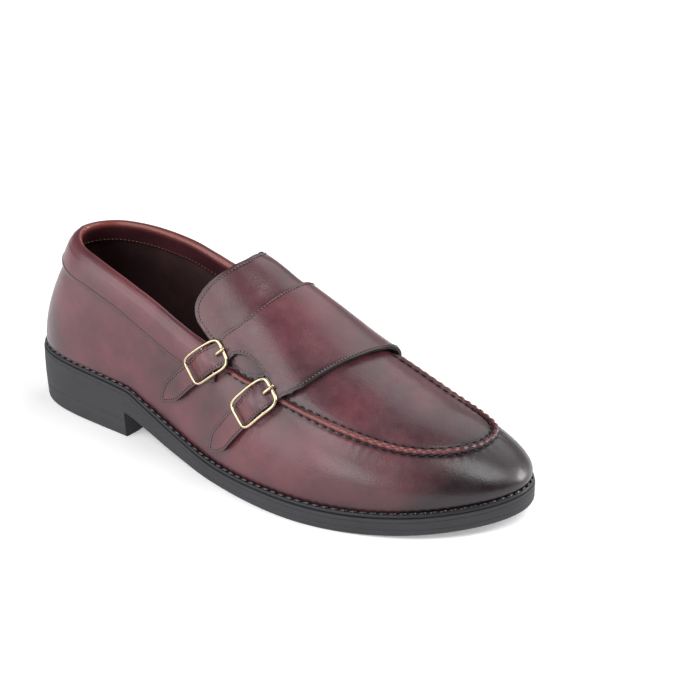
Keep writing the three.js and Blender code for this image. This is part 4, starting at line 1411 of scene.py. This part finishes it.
        def place(u: Array, v: Array) -> Laid:
            along = spread(v, (STRAP_RUN[0][0], STRAP_RUN[-1][0]), self.strap_rows)
            width = np.interp(along, [r[0] for r in STRAP_RUN], [r[1] for r in STRAP_RUN])
            width = np.where(along < 34.5, half(along), width)
            aside = width * (1 - 2 * u / count)
            dome = np.exp(-(((along - 1.0) / 6.0) ** 2))
            top = lift(along) + self.strap_thick + dome * (0.35 - 1.3 * (aside / 6.2) ** 2)
            p, normal = strap.spot(along, aside, top)
            return Laid(p, normal, self._marks(p))

        return place


@dataclass
class Buckle:
    """A pale wire frame with a bar across its middle and a prong."""

    strap: StrapPlace
    length: float
    width: float
    forward: float
    wire: float = 0.74
    lift: float = 5.5
    bar_wire: float = 0.8
    bar_lift: float = 4.3
    prong_wire: float = 0.75
    # Prong: mm from the far bar toward the strap's tip, lift
    prong_run: tuple = ((4.2, 5.2), (3.5, 6.5), (2.2, 7.15), (0, 7.3), (-1.3, 7.1), (-1.8, 6.6))

    def build(self, looks: Wardrobe) -> list[bpy.types.Object]:
        """Builds frame with bar, and prong.

        Args:
            looks: The shoe's finishes.

        Returns:
            The pieces.
        """
        frame_sheet = Sheet()
        along, aside, out_x, out_y = self._path()
        self._tube(frame_sheet, along, aside, np.full(len(along), self.lift), out_x, out_y, self.wire)
        half = self.width / 2 - 0.4
        across = np.linspace(-half, half, 17)
        one = np.ones_like(across)
        self._tube(frame_sheet, 0 * one, across, self.bar_lift * one, one, 0 * one, self.bar_wire)
        frame_sheet.weld(0.004)
        frame_sheet.close_ends()
        name = self.strap.name
        brass = [looks.brass]
        wire = finish_piece(frame_sheet.bm, f"buckle_{name}_wire", brass, Slot.BRASS, f"buckle_frame_{name}")
        prong_sheet = Sheet()
        run = np.linspace(self.prong_run[-1][0], self.prong_run[0][0], 25)
        lift = Column(self.prong_run)(run)
        run = run + self.forward - self.length / 2
        ends = np.minimum(run - run[0], run[-1] - run)
        radius = self.prong_wire * np.sqrt(np.clip(1 - np.clip(1 - ends / 0.7, 0, 1) ** 2, 0.001, 1))
        one = np.ones_like(run)
        self._tube(prong_sheet, run, 0 * one, lift, 0 * one, one, radius)
        prong_sheet.weld(0.03)
        prong_sheet.close_ends()
        prong = finish_piece(prong_sheet.bm, f"prong_{name}_wire", brass, Slot.BRASS, f"buckle_prong_{name}")
        return [wire, prong]

    def _path(self) -> tuple[Array, Array, Array, Array]:
        """Middle line of the frame, a rounded rectangle with bowed sides, and the directions out of it."""
        a = np.linspace(0, ROUND, 129)[:-1]
        power = 2 / 5.2
        x = np.sign(np.cos(a)) * np.abs(np.cos(a)) ** power * (self.length / 2)
        y = np.sign(np.sin(a)) * np.abs(np.sin(a)) ** power * (self.width / 2)
        path = np.stack([x + self.forward, y], 1)
        run = run_length(np.vstack([path, path[:1]]))
        even = np.linspace(0, run[-1], 97)
        closed = np.stack([np.interp(even, run, np.append(path[:, c], path[0, c])) for c in (0, 1)], 1)
        ahead = unit(np.roll(closed[:-1], -1, 0) - np.roll(closed[:-1], 1, 0))
        out = np.concatenate([ahead, ahead[:1]])
        return closed[:, 0], closed[:, 1], out[:, 1], -out[:, 0]

    def _tube(
        self, sheet: Sheet, along: Array, aside: Array, lift: Array, out_x: Array, out_y: Array,
        radius: Array | float,
    ) -> None:
        """A round wire along a line near the strap."""
        sides = 14
        radius = np.broadcast_to(radius, along.shape)

        def place(u: Array, v: Array) -> Laid:
            a = ROUND * v / sides
            out = radius[u] * np.cos(a)
            p, normal = self.strap.spot(
                along[u] + out * out_x[u], aside[u] + out * out_y[u], lift[u] + radius[u] * np.sin(a)
            )
            return Laid(p, normal)

        sheet.patch(len(along) - 1, sides, place)


@dataclass
class ApronBead:
    """The raised seam round the apron: a thin inner roll and a thicker gathered outer one."""

    steps: int = 560
    base: float = -0.25
    stitch: Stitching = field(default_factory=lambda: Stitching(PUCKER, 2.7, 0.9, 0.55, 0.15))

    def build(self, looks: Wardrobe) -> list[bpy.types.Object]:
        """Builds the bead and its thread.

        Args:
            looks: The shoe's finishes.

        Returns:
            The pieces.
        """
        turns = np.linspace(BEAD_LINE.first + 0.003, BEAD_LINE.end - 0.003, self.steps + 1)
        s = np.interp(turns, BEAD_LINE.turns, BEAD_LINE.length)
        rise = BEAD_LINE.rise(turns)
        girth = np.linalg.norm(LAST.point(turns, rise + 0.01) - LAST.point(turns, rise - 0.01), axis=1) / 0.02
        wave = np.cos(ROUND * s / PUCKER + 0.5 * np.sin(s / 7.3))
        ends = smooth(s / 6) * smooth((s[-1] - s) / 6)
        shape = self._section()

        def place(u: Array, v: Array) -> Laid:
            offset, height, lobe = shape[v, 0], shape[v, 1], shape[v, 2]
            gathers = (0.05 + 0.09 * smooth((HALF * np.cos(turns[u]) - 60) / 50)) * wave[u] * lobe
            side = offset * (1 - gathers) * (0.35 + 0.65 * ends[u])
            lift = self.base + height * (1 - gathers) * (0.3 + 0.7 * ends[u])
            local = rise[u] + side / girth[u]
            p = LAST.skin(turns[u], local, lift)
            # Darker at the rolls' low bases is painted shade; darker toward the toe is burnish
            dye_and_painted_shade = 0.85 * np.exp(-((height / 0.8) ** 2)) + 0.5 * smooth((p[:, 0] - 100) / 35)
            # Painted highlight along the crest of the roll, fading toward the toe
            crest = np.exp(-(((height - 2.2) / 0.7) ** 2)) * (1 - smooth((p[:, 0] - 100) / 30))
            marks = {"dye_and_painted_shade": np.clip(dye_and_painted_shade, 0, 1), "highlight_and_raw_edge": 0.3 * crest, "wrinkle": np.full(len(p), 0.5)}
            return Laid(p, LAST.normal(turns[u], local), marks)

        sheet = Sheet()
        sheet.patch(self.steps, len(shape) - 1, place)
        sheet.weld(0.01)
        sheet.close_ends()
        bead = finish_piece(sheet.bm, "apron_bead_rolls", [looks.calf], Slot.LEATHER, "apron_bead")
        return [bead, *self._thread(looks, turns, rise, girth)]

    def _section(self) -> Array:
        """Offsets across the seam, heights and 1 on the outer side, closed."""
        rows = [(-1.7, 0.0, 1)]
        for k in range(13):
            a = math.pi * (1 - k / 12)
            rows.append((-0.15 + 1.5 * math.cos(a), 0.45 + 1.75 * math.sin(a), float(k < 9)))
        rows += [(1.5, 0.55, 0), (1.75, 0.6, 0), (2.0, 0.4, 0), (2.05, 0.0, 0)]
        rows += [(0.5, -0.1, 0), (-0.8, -0.1, 1)]
        rows.append(rows[0])
        return np.array(rows, float)

    def _thread(self, looks: Wardrobe, turns: Array, rise: Array, girth: Array) -> list[bpy.types.Object]:
        """Thread dashes at the foot of both rolls."""
        bm = bmesh.new()
        for offset, lift in ((-1.95, 0.15), (2.3, 0.0)):
            local = rise + offset / girth
            line = LAST.skin(turns, local, np.full(len(turns), lift))
            self.stitch.sew(bm, line, LAST.normal(turns, local))
        return [finish_piece(bm, "apron_thread", [looks.apron_thread], Slot.LEATHER)]


@dataclass
class BottomUnit:
    """Sole with its shank and heel block in one piece, with fine lines round its edge."""

    breast: float = -75.3
    taper: float = 1.1
    chamfer: float = 1.2
    steps: int = 420

    def stations(self) -> Array:
        """Turns round the outline, with a close pair at the heel's breast."""
        half = np.linspace(0, math.pi, self.steps // 2 + 1)
        pair = [math.acos((self.breast + 0.06) / HALF), math.acos((self.breast - 0.06) / HALF)]
        half = np.array([t for t in half if min(abs(t - p) for p in pair) > 0.004] + pair)
        half.sort()
        return np.concatenate([-half[::-1][:-1], half])

    def build(self, looks: Wardrobe) -> list[bpy.types.Object]:
        """Builds the bottom unit.

        Args:
            looks: The shoe's finishes.

        Returns:
            The pieces.
        """
        turns = self.stations()
        profile = self._profile()
        station = HALF * np.cos(turns)
        heel = station < self.breast
        floor_z = np.where(heel, 0.0, LAST.sole_under(station))
        top_z = LAST.sole_top(station)
        mirror = LAST.rim(-turns, 0.0)

        def place(u: Array, v: Array) -> Laid:
            row = profile[v]
            low, top = floor_z[u], top_z[u]
            z = low + row[:, 1] * (top - low) + row[:, 2]
            shift = row[:, 0] + self.taper * heel[u] * np.clip(1 - z / 18, 0, 1) * (row[:, 3] > 0)
            x, y, _, _ = LAST.rim(turns[u], shift)
            middle_y = (mirror[1][u] + LAST.rim(turns[u], 0.0)[1]) / 2
            centre = row[:, 3] == 0
            p = np.stack([np.where(centre, station[u], x), np.where(centre, middle_y, y), z], 1)
            return Laid(p, np.tile([0.0, 0.0, 1.0], (len(u), 1)))

        sheet = Sheet()
        sheet.patch(len(turns) - 1, len(profile) - 1, place)
        sheet.weld(0.004)
        return [finish_piece(sheet.bm, "bottom_unit", [looks.rubber], Slot.SOLE, "sole")]

    def _profile(self) -> Array:
        """Rows of setback, share of the edge's height, mm added to it and 0 on the middle line."""
        rows = [(0, 0, 0, 0), (9, 0, 0, 1), (self.chamfer + 0.6, 0, 0, 1)]
        for k in range(1, 5):
            a = math.pi / 2 * k / 4
            rows.append((self.chamfer * (1 - math.sin(a)), 0, self.chamfer * (1 - math.cos(a)), 1))
        rows += [(0, 0.2, 0.6, 1), (0, 0.33, 0, 1), (0.2, 0.33, 0.2, 1), (0, 0.33, 0.4, 1), (0, 0.5, 0, 1)]
        rows += [(0, 0.7, 0, 1), (0, 1, -2.1, 1), (0.25, 1, -1.9, 1), (0, 1, -1.7, 1), (0, 1, -0.7, 1)]
        rows += [(0.15, 1, -0.25, 1), (0.6, 1, 0, 1), (9, 1, 0, 1), (0, 1, 0, 0)]
        return np.array(rows, float)


@dataclass
class WeltAndSock:
    """Stitched welt strip round the shoe and the sock inside it."""

    setback: float = 0.5
    reach: float = 8.0
    lift: float = 0.45
    thick: float = 1.65
    steps: int = 360
    stitch: Stitching = field(default_factory=lambda: Stitching(5.0, 4.3, 1.5, 0.75, 0.35, 0.16))

    def build(self, looks: Wardrobe) -> list[bpy.types.Object]:
        """Builds the welt, its thread and the sock.

        Args:
            looks: The shoe's finishes.

        Returns:
            The pieces.
        """
        turns = np.linspace(-math.pi, math.pi, self.steps + 1)
        low, high = self.lift, self.lift + self.thick
        edge = self.setback
        rows = [(self.reach, low), (edge + 0.4, low), (edge + 0.05, low + 0.35)]
        rows += [(edge, (low + high) / 2), (edge + 0.1, high - 0.4), (edge + 0.5, high)]
        rows += [(edge + 0.9, high - 0.1), (edge + 1.3, high - 0.5), (edge + 1.7, high - 0.1)]
        rows += [(edge + 2.2, high), (self.reach, high), (self.reach, low)]
        shape = np.array(rows)

        def place(u: Array, v: Array) -> Laid:
            x, y, _, _ = LAST.rim(turns[u], shape[v, 0])
            z = LAST.sole_top(HALF * np.cos(turns[u])) + shape[v, 1]
            return Laid(np.stack([x, y, z], 1), np.tile([0.0, 0.0, 1.0], (len(u), 1)))

        sheet = Sheet()
        sheet.patch(self.steps, len(rows) - 1, place)
        sheet.weld(0.004)
        welt = finish_piece(sheet.bm, "welt_strip", [looks.welt], Slot.WELT, "welt")
        x, y, _, _ = LAST.rim(turns, self.setback + 1.35)
        line = np.stack([x, y, LAST.sole_top(HALF * np.cos(turns)) + high - 0.15], 1)
        bm = bmesh.new()
        self.stitch.sew(bm, line, np.tile([0.0, 0.0, 1.0], (len(line), 1)))
        thread = finish_piece(bm, "welt_thread", [looks.welt_thread], Slot.WELT)
        return [welt, thread, self._sock(looks)]

    def _sock(self, looks: Wardrobe) -> bpy.types.Object:
        """The sock leather on the insole."""
        turns = np.linspace(-math.pi, math.pi, 241)
        station = HALF * np.cos(turns)
        back = LAST.inset(station) + 2.9
        rows = np.array([
            (0, 0.45, 0), (1, 0.45, 1), (1, 2.9, 1), (1.06, 3.3, 1),
            (1.25, 3.45, 1), (2.2, 3.45, 1), (3.2, 3.45, 1), (0, 3.45, 0),
        ])

        def place(u: Array, v: Array) -> Laid:
            x, y, _, _ = LAST.rim(turns[u], back[u] * rows[v, 0])
            _, other, _, _ = LAST.rim(-turns[u], 0.0)
            _, own, _, _ = LAST.rim(turns[u], 0.0)
            centre = rows[v, 2] == 0
            z = LAST.sole_top(station[u]) + rows[v, 1]
            p = np.stack([np.where(centre, station[u], x), np.where(centre, (own + other) / 2, y), z], 1)
            return Laid(p, np.tile([0.0, 0.0, 1.0], (len(u), 1)))

        sheet = Sheet()
        sheet.patch(240, len(rows) - 1, place)
        sheet.weld(0.004)
        return finish_piece(sheet.bm, "sock_and_insole", [looks.sock], Slot.SOCK, "insole")


@dataclass
class Studio:
    """White floor, soft lights and the camera of the photograph."""

    azimuth: float = 31.12
    elevation: float = 26.08
    roll: float = 0.45
    lens: float = 104.88
    offset: tuple[float, float, float] = (42.64, 27.29, 1081.09)
    target: tuple[float, float, float] = (-0.34, 0.89, 30.0)

    def build(self) -> None:
        """Sets up floor, lights, world and camera."""
        self._camera()
        self._floor()
        self._world()
        self._sun("front_window", (-0.1, -0.62, 0.78), 32.0, 1.2)
        self._sun("rear_window", (0.06, 0.74, 0.67), 38.0, 0.7)
        self._light("left_softbox", (-0.62, -0.74, 0.25), 1.5, 1.2, 15.0)
        self._light("front_low_softbox", (0.05, -0.93, 0.33), 1.5, 0.6, 7.0)
        self._light("right_top_softbox", (0.61, 0.06, 0.79), 1.6, 0.7, 12.0)
        self._light("right_rear_softbox", (0.74, 0.6, 0.3), 1.7, 0.7, 20.0)
        bpy.context.scene.view_settings.view_transform = "Standard"

    def _camera(self) -> None:
        """The photograph's camera."""
        az, el, roll = (math.radians(a) for a in (self.azimuth, self.elevation, self.roll))
        back = Vector((math.sin(az) * math.cos(el), -math.cos(az) * math.cos(el), math.sin(el)))
        right = Vector((math.cos(az), math.sin(az), 0))
        up = back.cross(right)
        r = right * math.cos(roll) + up * math.sin(roll)
        s = -right * math.sin(roll) + up * math.cos(roll)
        place = Vector(self.target) + r * self.offset[0] + s * self.offset[1] + back * self.offset[2]
        data = bpy.data.cameras.new("photo_camera")
        data.lens, data.sensor_width = self.lens, 36.0
        data.clip_start, data.clip_end = 0.05, 30.0
        camera = bpy.data.objects.new("photo_camera", data)
        turn = Matrix((r, s, back)).transposed().to_4x4()
        camera.matrix_world = Matrix.Translation(place * MM) @ turn
        bpy.context.scene.collection.objects.link(camera)
        bpy.context.scene.camera = camera

    def _floor(self) -> None:
        """A pale even floor."""
        s = Shade("white_sweep_paper")
        s.set(Base_Color=linear("#eeeeee"), Roughness=0.9, Specular_IOR_Level=0.0)
        s.set(Emission_Color=linear("#ffffff"), Emission_Strength=0.25)
        bm = bmesh.new()
        bmesh.ops.create_grid(bm, x_segments=1, y_segments=1, size=6.0)
        mesh = bpy.data.meshes.new("floor")
        bm.to_mesh(mesh)
        bm.free()
        mesh.materials.append(s.material)
        floor = bpy.data.objects.new("floor", mesh)
        bpy.context.scene.collection.objects.link(floor)

    def _world(self) -> None:
        """White surroundings that darken overhead and to the right."""
        world = bpy.data.worlds.new("white_studio")
        world.use_nodes = True
        tree = world.node_tree
        where = tree.nodes.new("ShaderNodeTexCoord")
        parts = tree.nodes.new("ShaderNodeSeparateXYZ")
        tree.links.new(where.outputs["Generated"], parts.inputs[0])
        upward = self._fade(tree, parts.outputs[2], ((0.0, 0.35), (0.35, 0.25), (0.65, 0.15), (1.0, 0.15)))
        sideways = self._fade(tree, parts.outputs[0], ((0.0, 1.0), (0.45, 1.0), (0.9, 0.4)))
        both = tree.nodes.new("ShaderNodeMath")
        both.operation = "MULTIPLY"
        tree.links.new(upward, both.inputs[0])
        tree.links.new(sideways, both.inputs[1])
        tree.links.new(both.outputs[0], tree.nodes["Background"].inputs["Strength"])
        tree.nodes["Background"].inputs["Color"].default_value = (1, 1, 1, 1)
        bpy.context.scene.world = world

    def _fade(
        self, tree: bpy.types.NodeTree, value: bpy.types.NodeSocket, stops: tuple
    ) -> bpy.types.NodeSocket:
        """A grey ramp over a value of the world's direction."""
        node = tree.nodes.new("ShaderNodeValToRGB")
        tree.links.new(value, node.inputs[0])
        elements = node.color_ramp.elements
        while len(elements) < len(stops):
            elements.new(0.5)
        for element, (place, grey) in zip(elements, stops):
            element.position = place
            element.color = (grey, grey, grey, 1)
        return node.outputs["Color"]

    def _sun(self, name: str, way: tuple, angle: float, power: float) -> None:
        """Soft even light from one direction."""
        data = bpy.data.lights.new(name, "SUN")
        data.angle, data.energy = math.radians(angle), power
        light = bpy.data.objects.new(name, data)
        light.rotation_euler = Vector(way).to_track_quat("Z", "Y").to_euler()
        bpy.context.scene.collection.objects.link(light)

    def _light(self, name: str, way: tuple, distance: float, size: float, power: float) -> None:
        """One soft square light that faces the shoe."""
        data = bpy.data.lights.new(name, "AREA")
        data.shape, data.size, data.energy = "SQUARE", size, power
        light = bpy.data.objects.new(name, data)
        place = Vector(way).normalized() * distance
        light.location = place
        light.rotation_euler = (place - Vector((0, 0, 0.04))).to_track_quat("Z", "Y").to_euler()
        bpy.context.scene.collection.objects.link(light)


def main() -> None:
    """Builds every piece in order and sets the studio."""
    logging.basicConfig(level=logging.INFO, format="%(name)s: %(message)s")
    looks = Wardrobe()
    parts = (BottomUnit(), WeltAndSock(), Upper(), CollarBand(), Tongue(), Saddle(), ApronBead())
    buckles = Buckle(REAR_STRAP, 22.6, 15.7, 1.3), Buckle(FRONT_STRAP, 21.2, 15.6, 2.0)
    for part in (*parts, *buckles):
        made = part.build(looks)
        log.info("%s made %d pieces", type(part).__name__, len(made))
    Studio().build()


if __name__ == "__main__":
    main()
